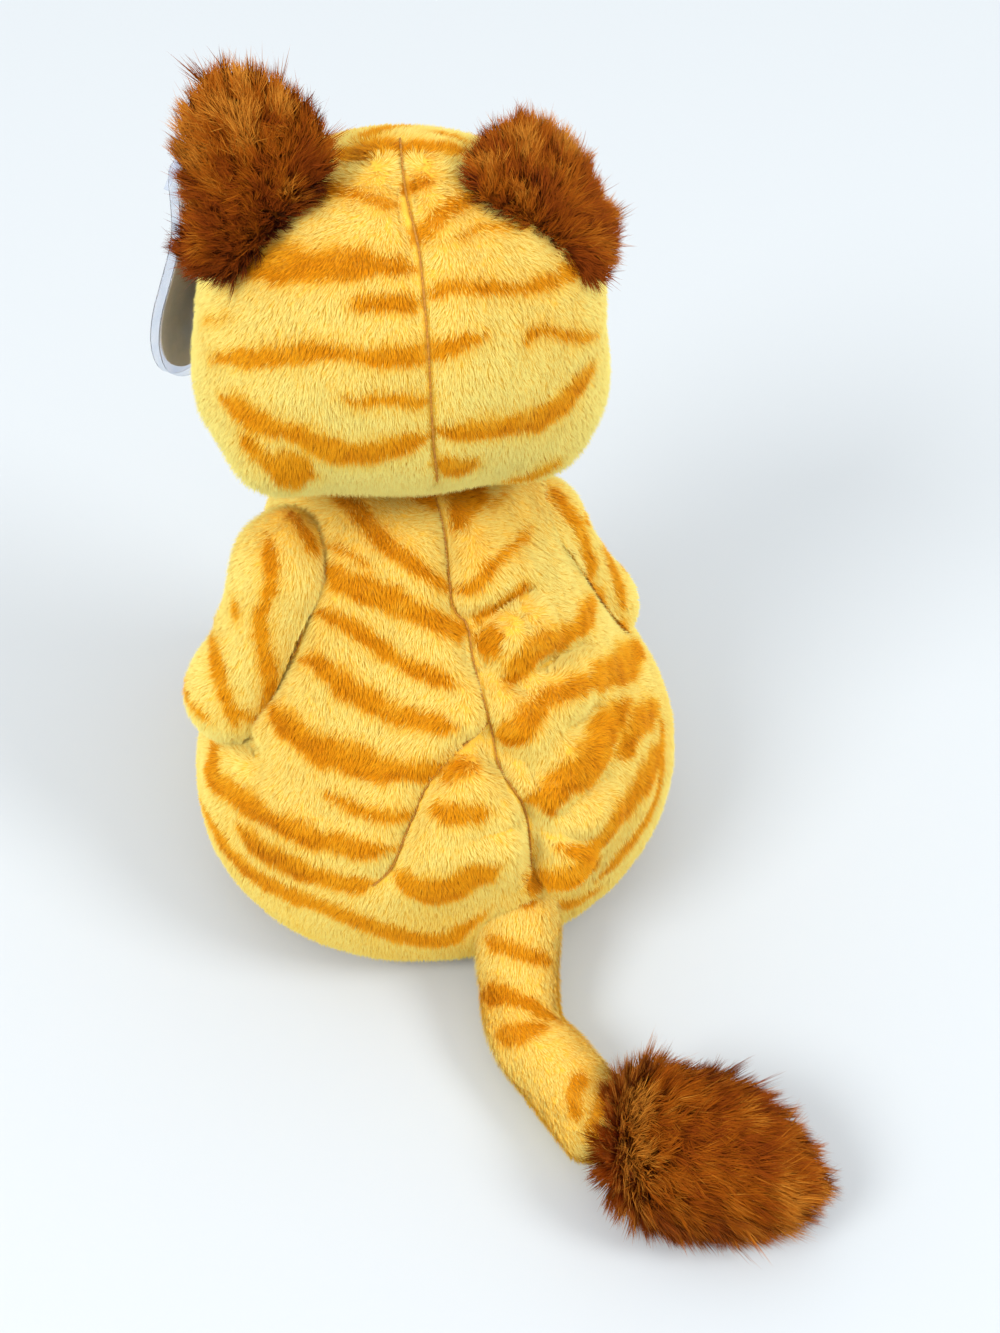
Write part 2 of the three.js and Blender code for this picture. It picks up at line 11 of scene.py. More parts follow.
import bmesh
import bpy
import numpy as np
from mathutils import Matrix, Vector
from mathutils.bvhtree import BVHTree
from mathutils.kdtree import KDTree


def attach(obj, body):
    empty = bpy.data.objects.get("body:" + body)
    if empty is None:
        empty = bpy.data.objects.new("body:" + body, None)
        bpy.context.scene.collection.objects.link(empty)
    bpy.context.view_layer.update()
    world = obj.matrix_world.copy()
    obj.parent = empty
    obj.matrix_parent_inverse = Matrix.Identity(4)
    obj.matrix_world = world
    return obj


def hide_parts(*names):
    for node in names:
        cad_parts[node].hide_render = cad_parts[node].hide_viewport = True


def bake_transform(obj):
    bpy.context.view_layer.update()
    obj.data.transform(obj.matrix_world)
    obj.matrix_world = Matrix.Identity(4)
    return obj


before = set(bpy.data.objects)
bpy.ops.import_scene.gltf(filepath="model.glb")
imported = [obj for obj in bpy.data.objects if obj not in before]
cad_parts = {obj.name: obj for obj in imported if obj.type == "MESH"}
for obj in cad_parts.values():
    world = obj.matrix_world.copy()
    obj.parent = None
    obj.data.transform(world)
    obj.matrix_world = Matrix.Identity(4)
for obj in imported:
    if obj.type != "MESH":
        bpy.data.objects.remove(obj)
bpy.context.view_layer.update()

# %% [markdown]
# ## Camera
# The photograph looks down on the animal's back from behind its left shoulder. A long lens some
# 43 cm away gives the same outline, and a small shift puts the animal where it stands in the frame.
# The same camera also turns a spot in the picture into a ray, so that a stripe seen in the picture
# can be laid on the skin at its real place.

# %% Camera and picture rays
mm = 0.001
picture_width, picture_height = 1000, 1333
focal_pixels = 2000
azimuth, elevation = math.radians(160), math.radians(48)
distance = 430
look_at = np.array([0.0, 0.0, 60.0])
look_at_pixel = (437, 640)
sensor_width = 36


def add_object(name, data):
    """Puts an object that holds a mesh, a lamp or a camera into the scene."""
    thing = bpy.data.objects.new(name, data)
    bpy.context.collection.objects.link(thing)
    return thing


def unit(vectors):
    vectors = np.asarray(vectors, float)
    return vectors / np.maximum(np.linalg.norm(vectors, axis=-1, keepdims=True), 1e-9)


backward = np.array([
    math.cos(elevation) * math.sin(azimuth), -math.cos(elevation) * math.cos(azimuth), math.sin(elevation)])
rightward = unit(np.cross(-backward, [0, 0, 1]))
upward = np.cross(rightward, -backward)
camera_place = look_at + distance * backward

camera_data = bpy.data.cameras.new("camera")
camera_data.sensor_fit = "HORIZONTAL"
camera_data.sensor_width = sensor_width
camera_data.lens = sensor_width * focal_pixels / picture_width
camera_data.shift_x = (picture_width / 2 - look_at_pixel[0]) / picture_width
camera_data.shift_y = (look_at_pixel[1] - picture_height / 2) / picture_width
camera_data.clip_start = 0.01
camera_data.clip_end = 50
camera = add_object("camera", camera_data)
camera.location = camera_place * mm
camera.rotation_euler = Vector(-backward).to_track_quat("-Z", "Y").to_euler()
bpy.context.scene.camera = camera


def ray_through(pixel):
    """The way from the camera through a spot in the picture."""
    u, v = pixel
    across = (u - look_at_pixel[0]) / focal_pixels
    down = (v - look_at_pixel[1]) / focal_pixels
    return unit(-backward + rightward * across - upward * down)


print("camera", camera_place.round(1), "lens", camera_data.lens)

# %% [markdown]
# ## Skins
# A sewn and stuffed part is a closed bag. A sphere from bmesh already is one, with a pole at each
# end, so every skin starts as a sphere whose points are moved to the sewn shape. That keeps the
# faces even and the surface smooth.

# %% Helpers that shape skins
dice = np.random.default_rng(20)
skins = {}
skin_inset = 0.6
floor_gap = 0.3


def smooth_rows(rows, count=400):
    """A smooth curve through rows of numbers, evenly stepped by row."""
    rows = np.asarray(rows, float)
    padded = np.vstack([2 * rows[0] - rows[1], rows, 2 * rows[-1] - rows[-2]])
    steps = np.linspace(0, len(rows) - 1, count)
    start = np.minimum(steps.astype(int), len(rows) - 2)
    t = (steps - start)[:, None]
    a, b, c, d = (padded[start + k] for k in range(4))
    return 0.5 * (2 * b + (c - a) * t + (2 * a - 5 * b + 4 * c - d) * t**2 + (3 * b - a - 3 * c + d) * t**3)


def at_share(table, share):
    """The rows of a table at shares of its length, with 0 for its first row and 1 for its last."""
    place = np.clip(share, 0, 1) * (len(table) - 1)
    low = np.minimum(place.astype(int), len(table) - 2)
    part = (place - low)[:, None]
    return table[low] * (1 - part) + table[low + 1] * part


def even_steps(table, count=400):
    """The same curve with its points spaced evenly along it."""
    steps = np.linalg.norm(np.diff(table, axis=0), axis=1)
    lengths = np.concatenate([[0], np.cumsum(steps)])
    wanted = np.linspace(0, lengths[-1], count)
    return np.column_stack([np.interp(wanted, lengths, column) for column in table.T])


def mesh_object(name, bm):
    """Turns a finished bmesh into an object with a smooth mesh.

    The sphere operator lists its faces in another order each run. The pile is scattered by face, so
    the faces are sorted by their points, which makes every run the same.
    """
    bm.verts.index_update()
    span = len(bm.verts)

    def rank(face):
        first, second, third = sorted(vert.index for vert in face.verts)[:3]
        return float((first * span + second) * span + third)

    bm.faces.sort(key=rank)
    mesh = bpy.data.meshes.new(name)
    bm.to_mesh(mesh)
    bm.free()
    mesh.shade_smooth()
    return add_object(name, mesh)


def stuffed_skin(name, shape, around, rows):
    """A closed skin: a sphere whose points go where shape() says, in millimetres."""
    bm = bmesh.new()
    bmesh.ops.create_uvsphere(bm, u_segments=around, v_segments=rows, radius=1)
    places = shape(np.array([vert.co[:] for vert in bm.verts]))
    places[:, 2] = np.maximum(places[:, 2], floor_gap)
    for vert, place in zip(bm.verts, places * mm):
        vert.co = place
    bmesh.ops.recalc_face_normals(bm, faces=bm.faces)
    if bm.calc_volume(signed=True) < 0:
        bmesh.ops.reverse_faces(bm, faces=bm.faces)
    skins[name] = mesh_object(name, bm)
    return skins[name]


def read_rows(items, what):
    rows = np.empty(len(items) * 3)
    items.foreach_get(what, rows)
    return rows.reshape(-1, 3)


def read_places(skin):
    return read_rows(skin.data.vertices, "co") / mm


def read_normals(skin):
    return read_rows(skin.data.vertex_normals, "vector")


def write_places(skin, places):
    places[:, 2] = np.maximum(places[:, 2], floor_gap)
    skin.data.vertices.foreach_set("co", (places * mm).ravel())
    skin.data.update()


def distance_to_line(points, line):
    """How far each point is from a line of points, and how far along the line its nearest spot is."""
    start, end = line[:-1], line[1:]
    along = end - start
    length2 = np.maximum((along**2).sum(1), 1e-9)
    best = np.full(len(points), 1e9)
    where = np.zeros(len(points))
    for k in range(len(start)):
        t = np.clip(((points - start[k]) @ along[k]) / length2[k], 0, 1)
        gap = np.linalg.norm(points - start[k] - t[:, None] * along[k], axis=1)
        nearer = gap < best
        best[nearer] = gap[nearer]
        where[nearer] = (k + t[nearer]) / len(start)
    return best, where


# %% [markdown]
# ## Torso
# The torso is a pear that leans forward from its heavy seat to the neck. Each row gives a level
# ring's height, half-width, back and belly, as shares of the torso's sizes in mm, and the skin runs
# smoothly through the rings.

# %% Torso skin
torso_height, seat_half_width, seat_back, belly_front = 98, 55, 48, 48
torso_shares = smooth_rows([
    [-0.005, 0, 0, 0],
    [-0.005, 0.45, 0.48, -0.42],
    [0.012, 0.72, 0.76, -0.70],
    [0.055, 0.90, 0.94, -0.86],
    [0.13, 0.98, 0.99, -0.94],
    [0.22, 1.00, 1.00, -0.98],
    [0.32, 0.97, 0.98, -1.00],
    [0.42, 0.885, 0.94, -1.00],
    [0.52, 0.775, 0.84, -1.00],
    [0.62, 0.69, 0.68, -1.00],
    [0.73, 0.625, 0.48, -0.99],
    [0.83, 0.575, 0.28, -0.96],
    [0.91, 0.51, 0.13, -0.91],
    [0.965, 0.40, -0.02, -0.83],
    [0.995, 0.22, -0.20, -0.66],
    [1.0, 0, -0.4375, -0.4375],
])


def torso_ring(width, back, front, gap, least):
    """Half-width, half-depth and middle of level rings that lie a gap outside the torso's form."""
    half_width = np.maximum(width * seat_half_width + gap, least)
    half_depth = np.maximum((back * seat_back - front * belly_front) / 2 + gap, least)
    return half_width, half_depth, (back * seat_back + front * belly_front) / 2


def torso_shape(places):
    share = np.arcsin(np.clip(places[:, 2], -1, 1)) / math.pi + 0.5
    height, width, back, front = at_share(torso_shares, share).T
    round_about = unit(places[:, :2] + 1e-9)
    half_width, half_depth, middle = torso_ring(width, back, front, -skin_inset, 0)
    return np.column_stack([
        round_about[:, 0] * half_width,
        middle + round_about[:, 1] * half_depth,
        height * torso_height - np.sign(places[:, 2]) * skin_inset,
    ])


torso_skin = stuffed_skin("torso_skin", torso_shape, around=176, rows=120)
torso_rows = torso_shares[torso_shares[:, 0].argsort()]


def outside_torso(points, gap):
    """Moves points that would be inside the torso straight out to its skin, with a gap."""
    height = points[:, 2] / torso_height
    width, back, front = (np.interp(height, torso_rows[:, 0], torso_rows[:, k]) for k in (1, 2, 3))
    half_width, half_depth, middle = torso_ring(width, back, front, gap, 1e-3)
    away = points[:, :2] - np.column_stack([np.zeros(len(points)), middle])
    reach = np.sqrt((away[:, 0] / half_width) ** 2 + (away[:, 1] / half_depth) ** 2)
    inside = (reach < 1) & (reach > 1e-3) & (height < 0.995)
    moved = points.copy()
    moved[inside, :2] += away[inside] * (1 / reach[inside] - 1)[:, None]
    return moved


print("torso skin", [round(c, 1) for c in read_places(torso_skin).max(0)])

# %% [markdown]
# ## Head
# The head is a wide soft egg with fuller cheeks, turned a little to the animal's right and tipped.
# The neck is a plain ball between the two.

# %% Head and neck skins
head_half = np.array([40.0, 34.0, 35.0])
head_centre = np.array([0.0, -21.0, 134.0])
turn, tilt = math.radians(-11), math.radians(-5)
neck_radius, neck_centre = 13.8, np.array([0, -21, 98])
head_turn = np.array([
    [math.cos(turn), -math.sin(turn), 0], [math.sin(turn), math.cos(turn), 0], [0, 0, 1]]) @ np.array([
        [math.cos(tilt), 0, math.sin(tilt)], [0, 1, 0], [-math.sin(tilt), 0, math.cos(tilt)]])


def head_to_world(points):
    return points @ head_turn.T + head_centre


def world_to_head(points):
    return (points - head_centre) @ head_turn


def head_shape(places):
    # The cheeks are fuller low down, and the head is a little wider on its right than on its left
    places = places.copy()
    low = np.maximum(0, -places[:, 2])
    places[:, 0] *= 1 + 0.06 * low + 0.52 * low**2
    places[:, 0] *= np.where(places[:, 0] > 0, 0.985, 1.01 + 0.14 * low)
    return head_to_world(places * (head_half - skin_inset))


head_skin = stuffed_skin("head_skin", head_shape, around=144, rows=96)
stuffed_skin("neck_skin", lambda places: places * neck_radius + neck_centre, around=48, rows=32)
print("head skin", read_places(head_skin).min(0).round(1), read_places(head_skin).max(0).round(1))

# %% [markdown]
# ## Arms, legs and tail
# Each limb is a sewn sausage. A smooth line runs through its middle, and shares of its radius make
# it swell and taper. Where it would run into the torso it is pushed out to lie against it, as the
# real limb is pressed flat against the body that it is sewn to.

# %% Limb skins
arm_radius, leg_radius, tail_radius = 10, 14, 8.6
shoulder = np.array([24.0, -15.0, 84.0])
hip = np.array([31.0, -25.0, 17.0])
# Middle lines of an arm and a leg in multiples of its radius, out from the shoulder or the hip
arm_spine = [
    [0.1, 0.1, 1.0], [0.45, 0.35, 0.1], [0.9, 0.6, -1.0],
    [1.4, 0.75, -2.1], [1.9, 0.7, -3.2], [2.2, 0.65, -4.35]]
arm_swell = [1.0, 1.14, 1.06, 1.05, 1.13, 1.05]
# The right arm sits lower, further in and further forward than the left, and is thinner
arm_set_back = {"left": np.zeros(3), "right": np.array([-2.0, -1.0, -3.5])}
arm_top_drop = {"left": 0.0, "right": 0.5}
arm_girth = {"left": 1.0, "right": 0.9}
leg_spine = [
    [0, 0.2, 0], [0, -0.3, 0], [-0.15, -0.9, -0.3],
    [-0.35, -1.55, -0.3], [-0.6, -2.25, -0.05], [-0.7, -2.85, 0.05]]
leg_swell = [1.05, 1.08, 1, 0.95, 1.02, 1.04]
tail_spine = [
    [-2.5, 38, 20], [-1.6, 46, 17], [1.8, 56, 11.2], [4.6, 68, 8.4],
    [1.8, 79, 8.1], [-0.7, 90, 8.1], [-2.3, 99, 8.1]]
tail_swell = [1.16, 1.14, 1.04, 1.0, 1.05, 1.05, 1.0]
torso_clearance = 0.1
spines = {}


def sausage(name, spine, radius, swell, level, cap=0.2, near=None, **counts):
    """A limb's skin. Near the joint it keeps its form, and further out it is pushed off the torso."""
    line = even_steps(smooth_rows(spine))
    swells = smooth_rows([[share] for share in swell])
    spines[name] = line

    def shape(places):
        t = (1 + places[:, 2]) / 2
        middle = at_share(line, t)
        along = unit(at_share(line, t + 0.01) - at_share(line, t - 0.01))
        across = unit(np.cross(level, along))
        over = np.cross(along, across)
        from_end = np.minimum(np.minimum(t, 1 - t), cap) / cap
        rounding = np.sqrt(np.maximum(0, 1 - (1 - from_end) ** 2))
        half = ((radius * at_share(swells, t)[:, 0] - skin_inset) * rounding)[:, None]
        round_about = unit(places[:, :2] + 1e-9)
        points = middle + across * (round_about[:, :1] * half) + over * (round_about[:, 1:] * half)
        if near is None:
            return points
        pushed = outside_torso(points, torso_clearance)
        deep = np.clip(np.linalg.norm(points - near, axis=1) / radius - 0.4, 0, 1)[:, None]
        return points * (1 - deep) + pushed * deep

    return stuffed_skin(name, shape, **counts)


for name, side in (("left", 1), ("right", -1)):
    mirror = np.array([side, 1, 1])
    lowered = np.array(arm_spine) - np.outer(np.linspace(1, 0, len(arm_spine)), [0, 0, arm_top_drop[name]])
    sausage(f"{name}_arm_skin", (lowered * arm_radius + shoulder + arm_set_back[name]) * mirror,
            arm_radius * arm_girth[name], arm_swell, [1, 0, 0], near=shoulder * mirror, around=56, rows=64)
    sausage(f"{name}_leg_skin", (np.array(leg_spine) * leg_radius + hip) * mirror, leg_radius,
            leg_swell, [0, 0, 1], near=hip * mirror, around=64, rows=64)
sausage("tail_skin", tail_spine, tail_radius, tail_swell, [0, 0, 1], cap=0.08, around=56, rows=96)
print("skins so far", list(skins))

# %% [markdown]
# ## Ears, muzzle and tuft
# An ear is a flat stuffed pad, sewn along a slanted line on the side of the crown. The left one
# stands up and the right one leans over. The tuft is a fuller pad of the same make, which lies on
# the floor. Their outlines were read off the picture and are laid in the pad's own plane.

# %% Ear pads, linings, muzzle and tuft
ear_seam_low, ear_seam_high = (0.86, 0.4), (0.33, 0.935)


def on_head(across, up, facing):
    """A spot on the head's egg, from its shares across and up, and the way out of the egg there."""
    spot = np.array([across, facing * math.sqrt(1 - across**2 - up**2), up])
    return spot * head_half, unit(spot / head_half)


def turned(vector, axis, angle):
    return (vector * math.cos(angle) + np.cross(axis, vector) * math.sin(angle)
            + axis * np.dot(axis, vector) * (1 - math.cos(angle)))


def ear_axes(side, lean, sweep):
    """Where an ear is sewn on, the way it rises and the way it faces, all in the head's own axes."""
    low, _ = on_head(side * ear_seam_low[0], ear_seam_low[1], 1)
    high, _ = on_head(side * ear_seam_high[0], ear_seam_high[1], 1)
    chord = unit(high - low)
    middle = (low + high) / 2
    pivot = middle / np.linalg.norm(middle / head_half)
    out = pivot / head_half / head_half
    upright = unit(out - chord * np.dot(out, chord))
    leaning = turned(upright, chord, -side * lean)
    front = np.cross(chord, leaning) * -side
    rise = turned(leaning, front, side * sweep)
    return {"pivot": pivot, "rise": rise, "front": front}


ears = {
    "left": ear_axes(1, math.radians(34), math.radians(20)),
    "right": ear_axes(-1, math.radians(74), math.radians(6)),
}


def onto_plane(pixels, spot, facing):
    """Where the rays through some picture spots meet a plane."""
    rays = np.array([ray_through(pixel) for pixel in pixels])
    reach = ((spot - camera_place) @ facing) / (rays @ facing)
    return camera_place + rays * reach[:, None]


def pillow(outline, facing, thickness, share, forward=0.0):
    """A flat stuffed pad that fills a share of an outline, thickest in its middle and a little cupped."""
    closed = np.vstack([outline, outline[:1]])
    rim = even_steps(smooth_rows(np.vstack([closed, closed[1:2]]), 300), 240)
    centre = outline.mean(0)
    first = unit(np.cross(facing, [0.2, 0.1, 1.0]))
    second = np.cross(facing, first)
    angles = np.arctan2((rim - centre) @ second, (rim - centre) @ first)
    reaches = np.linalg.norm(rim - centre, axis=1)
    order = np.argsort(angles)

    def shape(places):
        round_about = np.arctan2(places[:, 1], places[:, 0])
        reach = np.interp(round_about, angles[order], reaches[order], period=2 * math.pi) * share
        flat = np.linalg.norm(places[:, :2], axis=1) * reach
        raised = places[:, 2] * thickness + forward + pad_cup * flat**2 / reach.max()
        return (centre + first * (flat * np.cos(round_about))[:, None]
                + second * (flat * np.sin(round_about))[:, None] + facing * raised[:, None])
    return shape


pad_cup = 0.06
pad_share = 0.9
ear_thickness = 3.2
lining_thickness, lining_share, lining_forward = 2.2, 0.68, 1.9
ear_outlines = {
    "left": [
        (196, 108), (212, 84), (236, 74), (264, 84), (298, 104), (322, 134), (332, 160), (318, 190),
        (285, 225), (252, 262), (228, 286), (197, 280), (184, 266), (193, 240), (197, 206), (188, 171),
        (186, 138)],
    "right": [
        (482, 148), (505, 129), (531, 126), (560, 144), (578, 168), (592, 200), (611, 230), (610, 262),
        (602, 282), (580, 272), (550, 245), (512, 220), (480, 196), (472, 170)],
}
for name, ear in ears.items():
    front = ear["front"] @ head_turn.T
    outline = onto_plane(ear_outlines[name], head_to_world(ear["pivot"]), front)
    print(name, "ear faces the camera by", round(float(front @ backward), 2))
    stuffed_skin(f"{name}_ear_skin", pillow(outline, front, ear_thickness, pad_share), around=72, rows=40)
    lining = pillow(outline, front, lining_thickness, lining_share, lining_forward)
    stuffed_skin(f"{name}_ear_lining_pad", lining, around=56, rows=30)

muzzle_centre, _ = on_head(0, -0.28, -1)
muzzle_inset = 0.4
muzzle_half = np.array([15, 9, 10.5]) - muzzle_inset
stuffed_skin("muzzle_skin", lambda places: head_to_world(places * muzzle_half + muzzle_centre),
             around=64, rows=44)

tuft_root = np.array([-0.81, 96.55, 8.1])
tuft_heading = math.radians(60)
tuft_half_length, tuft_middle_height, tuft_thickness = 19, 12.5, 10
tuft_along = np.array([-math.sin(tuft_heading), math.cos(tuft_heading), 0])
tuft_centre = tuft_root + tuft_along * tuft_half_length
tuft_centre[2] = tuft_middle_height
tuft_facing = unit(backward + np.array([0, 0, 1.0]))
tuft_outline = onto_plane([
    (622, 1082), (644, 1070), (688, 1082), (724, 1090), (766, 1116), (798, 1162), (808, 1192), (794, 1208),
    (764, 1224), (725, 1226), (678, 1222), (640, 1212), (618, 1192), (607, 1158), (611, 1112)],
    tuft_centre, tuft_facing)
stuffed_skin("tuft_skin", pillow(tuft_outline, tuft_facing, tuft_thickness, pad_share), around=72, rows=56)
print("skins", len(skins))

# %% [markdown]
# ## From the picture to the skin
# Stripes and seams were read off the picture, as a few spots with a thickness. A ray from
# the camera through each spot meets the skin at the stripe's real place. Printed cloth is striped
# all over, so the unseen sides get stripes of the same kind.

# %% Lay picture lines on a skin
pile_top = 1.1
spot_step = 5
# Picture pixels to the mm: as a rule, and the fewest that a stripe's width is worked out with
pixels_per_mm, fewest_pixels_per_mm = 4.6, 2.6
# A stripe tapers over this share of its length at each end, from this share of its thickness
taper_share, taper_start = 0.16, 0.25


def tree_of(name, lift=0.0):
    """A skin to cast rays at, or the top of its pile with a lift."""
    places = read_places(skins[name]) + read_normals(skins[name]) * lift
    faces = [list(face.vertices) for face in skins[name].data.polygons]
    return BVHTree.FromPolygons([tuple(place) for place in places], faces)


def dense(pixels):
    """The smooth line through a few spots in the picture, as spots a few pixels apart."""
    line = even_steps(smooth_rows(pixels, 200), 200)
    length = np.linalg.norm(np.diff(line, axis=0), axis=1).sum()
    return even_steps(line, max(3, int(length / spot_step)))


def meet(tree, pixel, depth=0.0):
    """Where the ray through a spot in the picture meets a skin, or a depth below it."""
    spot, out, _, _ = tree.ray_cast(Vector(camera_place), Vector(ray_through(pixel)))
    return None if spot is None else np.array(spot) - np.array(out) * depth


def cast_line(tree, pixels):
    hits = [meet(tree, pixel) for pixel in dense(pixels)]
    return np.array([hit for hit in hits if hit is not None])


def cast_stripe(tree, pixels, thickness):
    """A stripe, cast at the top of the pile, as points on the skin, each with its half-width there."""
    line = dense(pixels)
    shares = np.linspace(0, 1, len(line))
    heading = unit(np.gradient(line, axis=0))
    aside = np.column_stack([-heading[:, 1], heading[:, 0]])
    thickness = np.atleast_1d(thickness)
    widths = np.interp(shares, np.linspace(0, 1, len(thickness)), thickness)
    rows = []
    for share, pixel, off, width in zip(shares, line, aside, widths):
        middle = meet(tree, pixel, pile_top)
        if middle is None:
            continue
        edges = [meet(tree, pixel + off * s * width / 2, pile_top) for s in (-1, 1)]
        halves = [np.linalg.norm(edge - middle) for edge in edges if edge is not None]
        half = np.mean(halves) if halves else width / 2 / pixels_per_mm
        taper = min(1, share / taper_share + taper_start, (1 - share) / taper_share + taper_start)
        rows.append([*middle, min(half, width / 2 / fewest_pixels_per_mm) * taper])
    return {"line": np.array(rows), "strength": 1.0} if len(rows) > 2 else None


# %% Seams, creases and lumps in the torso and the head
torso_tree, head_tree = tree_of("torso_skin"), tree_of("head_skin")
body_seam = [
    (434, 494), (441, 518), (445, 540), (450, 588), (454, 611), (467, 625),
    (474, 666), (490, 725), (500, 770), (525, 810), (530, 870), (518, 888)]
side_seam = [(320, 533), (318, 574), (308, 599), (300, 642), (287, 664), (260, 710), (241, 734)]
rump_seam = [(486, 724), (433, 778), (409, 827), (392, 867), (374, 884)]
head_seam = [
    (400, 140), (405, 190), (413, 225), (420, 260), (428, 348), (431, 407), (434, 448), (437, 480)]


def cast_seams():
    return {
        "torso_skin": [cast_line(tree_of("torso_skin"), line) for line in (body_seam, side_seam, rump_seam)],
        "head_skin": [cast_line(tree_of("head_skin"), head_seam)],
    }


seams = cast_seams()
# A crease is a line of spots in the picture with a strength, where a main seam has 1
creases = [
    ([(474, 627), (485, 614), (513, 598), (534, 585)], 1.2), ([(493, 739), (520, 752), (545, 778)], 1.2),
    ([(478, 655), (500, 672), (520, 700)], 0.9), ([(505, 690), (530, 668), (556, 650)], 0.8),
    ([(207, 735), (239, 733), (268, 757)], 1.0), ([(530, 820), (535, 850), (550, 884)], 1.4),
    ([(540, 828), (556, 824), (574, 834)], 1.2), ([(600, 700), (575, 720), (545, 728)], 1.1),
    ([(590, 640), (560, 655), (525, 668)], 1.0), ([(610, 770), (580, 788), (550, 812)], 0.9),
    ([(500, 770), (480, 745), (455, 740)], 0.8)]
# A lump is a spot in the picture, how far it rises in mm, and how far it reaches in mm
lumps = [
    (480, 640, -1.4, 5), (497, 762, -1.4, 5), (455, 830, 2.4, 9), (470, 790, 1.2, 4), (560, 856, 7.0, 4.0),
    (515, 640, 1.6, 5), (520, 575, 1.6, 6), (590, 650, 1.2, 8), (535, 735, 1.8, 5), (600, 815, 1.8, 9),
    (300, 800, 1.4, 12), (330, 900, 1.2, 11), (400, 560, 1.0, 9), (360, 690, 1.0, 12), (505, 700, 1.4, 4),
    (560, 700, 1.6, 6), (445, 880, 1.4, 7), (600, 590, 1.2, 6), (625, 720, 1.6, 6), (575, 765, 1.4, 4),
    (480, 560, 1.2, 5), (640, 790, 1.2, 6)]
head_lumps = [
    (240, 455, 1.8, 12), (590, 420, 0.8, 12), (272, 460, 5.0, 9), (548, 452, 3.0, 9), (430, 470, 1.0, 10)]
deepest_dimple = 0.8
seam_half_width, swell_start, seam_end_share = 2.4, 4.5, 0.12
seam_strengths = [1.0, 0.7, 1.0]


def press_seams(skin, lines, groove, bulge, bulge_width):
    """Panels swell between seams, and each seam draws the cloth in. All lengths are in mm."""
    places, normals = read_places(skin), read_normals(skin)
    moved = np.zeros(len(places))
    for line, strength in lines:
        gap, where = distance_to_line(places, line)
        ends = np.clip(np.minimum(where, 1 - where) / seam_end_share, 0.15, 1)
        swell = (1 - np.exp(-((gap / swell_start) ** 2))) * np.exp(-((gap / bulge_width) ** 2))
        moved += strength * ends * (bulge * swell - groove * np.exp(-((gap / seam_half_width) ** 2)))
    write_places(skin, places + normals * moved[:, None])


def press_lumps(skin, tree, spots):
    """Raises lumps and sinks dimples, but leaves no point deeper under the plain form than it may be."""
    places, normals = read_places(skin), read_normals(skin)
    for u, v, rise, reach in spots:
        spot = meet(tree, (u, v))
        if spot is not None:
            gap = np.linalg.norm(places - spot, axis=1)
            places += normals * (rise * np.exp(-((gap / reach) ** 2)))[:, None]
    write_places(skin, places)
    places, normals = read_places(skin), read_normals(skin)
    for k, place in enumerate(places):
        near, out, _, _ = tree.find_nearest(Vector(place))
        depth = (place - np.array(near)) @ np.array(out)
        if depth < -deepest_dimple:
            places[k] += np.array(out) * (-deepest_dimple - depth)
    write_places(skin, places)


crease_lines = [(cast_line(torso_tree, line), strength) for line, strength in creases]
seam_lines = list(zip(seams["torso_skin"], seam_strengths))
press_seams(torso_skin, seam_lines + crease_lines, groove=2.0, bulge=2.4, bulge_width=11)
press_lumps(torso_skin, torso_tree, lumps)
press_seams(head_skin, [(seams["head_skin"][0], 1.0)], groove=1.6, bulge=0.8, bulge_width=12)
press_lumps(head_skin, head_tree, head_lumps)
seams = cast_seams()
print("seam points", {name: [len(line) for line in lines] for name, lines in seams.items()})

# %% Stripes read off the picture
# A stripe is a line of spots in the picture with its thickness there, or its thickness along the line
head_marks = [
    ([(331, 155), (400, 142), (468, 148)], 15), ([(304, 187), (350, 188), (400, 203)], 15),
    ([(400, 190), (412, 180), (432, 172)], 15), ([(411, 242), (430, 222), (452, 202), (476, 187)], 22),
    ([(453, 237), (485, 225), (535, 221)], 10), ([(347, 304), (385, 299), (423, 304)], 21),
    ([(235, 266), (320, 260), (400, 263), (420, 268)], [28, 44, 34, 22]),
    ([(423, 298), (450, 286), (526, 286), (590, 269)], [22, 19, 16]),
    ([(560, 272), (578, 262), (590, 256)], 20), ([(198, 323), (230, 317)], 6),
    ([(206, 360), (268, 357), (327, 351), (371, 357), (426, 354), (491, 333)], 22),
    ([(526, 345), (541, 330), (570, 336), (602, 336)], 13),
    ([(338, 395), (356, 405), (385, 401), (431, 405)], [9, 17]),
    ([(218, 398), (250, 418), (297, 436), (327, 451), (362, 454), (432, 439)], 23),
    ([(435, 433), (467, 433), (547, 418), (597, 368)], 21), ([(270, 468), (289, 472), (312, 476)], 38),
    ([(438, 470), (478, 468)], 17), ([(500, 480), (530, 476), (560, 464)], 12),
    ([(238, 436), (256, 452), (276, 466)], 14),
]
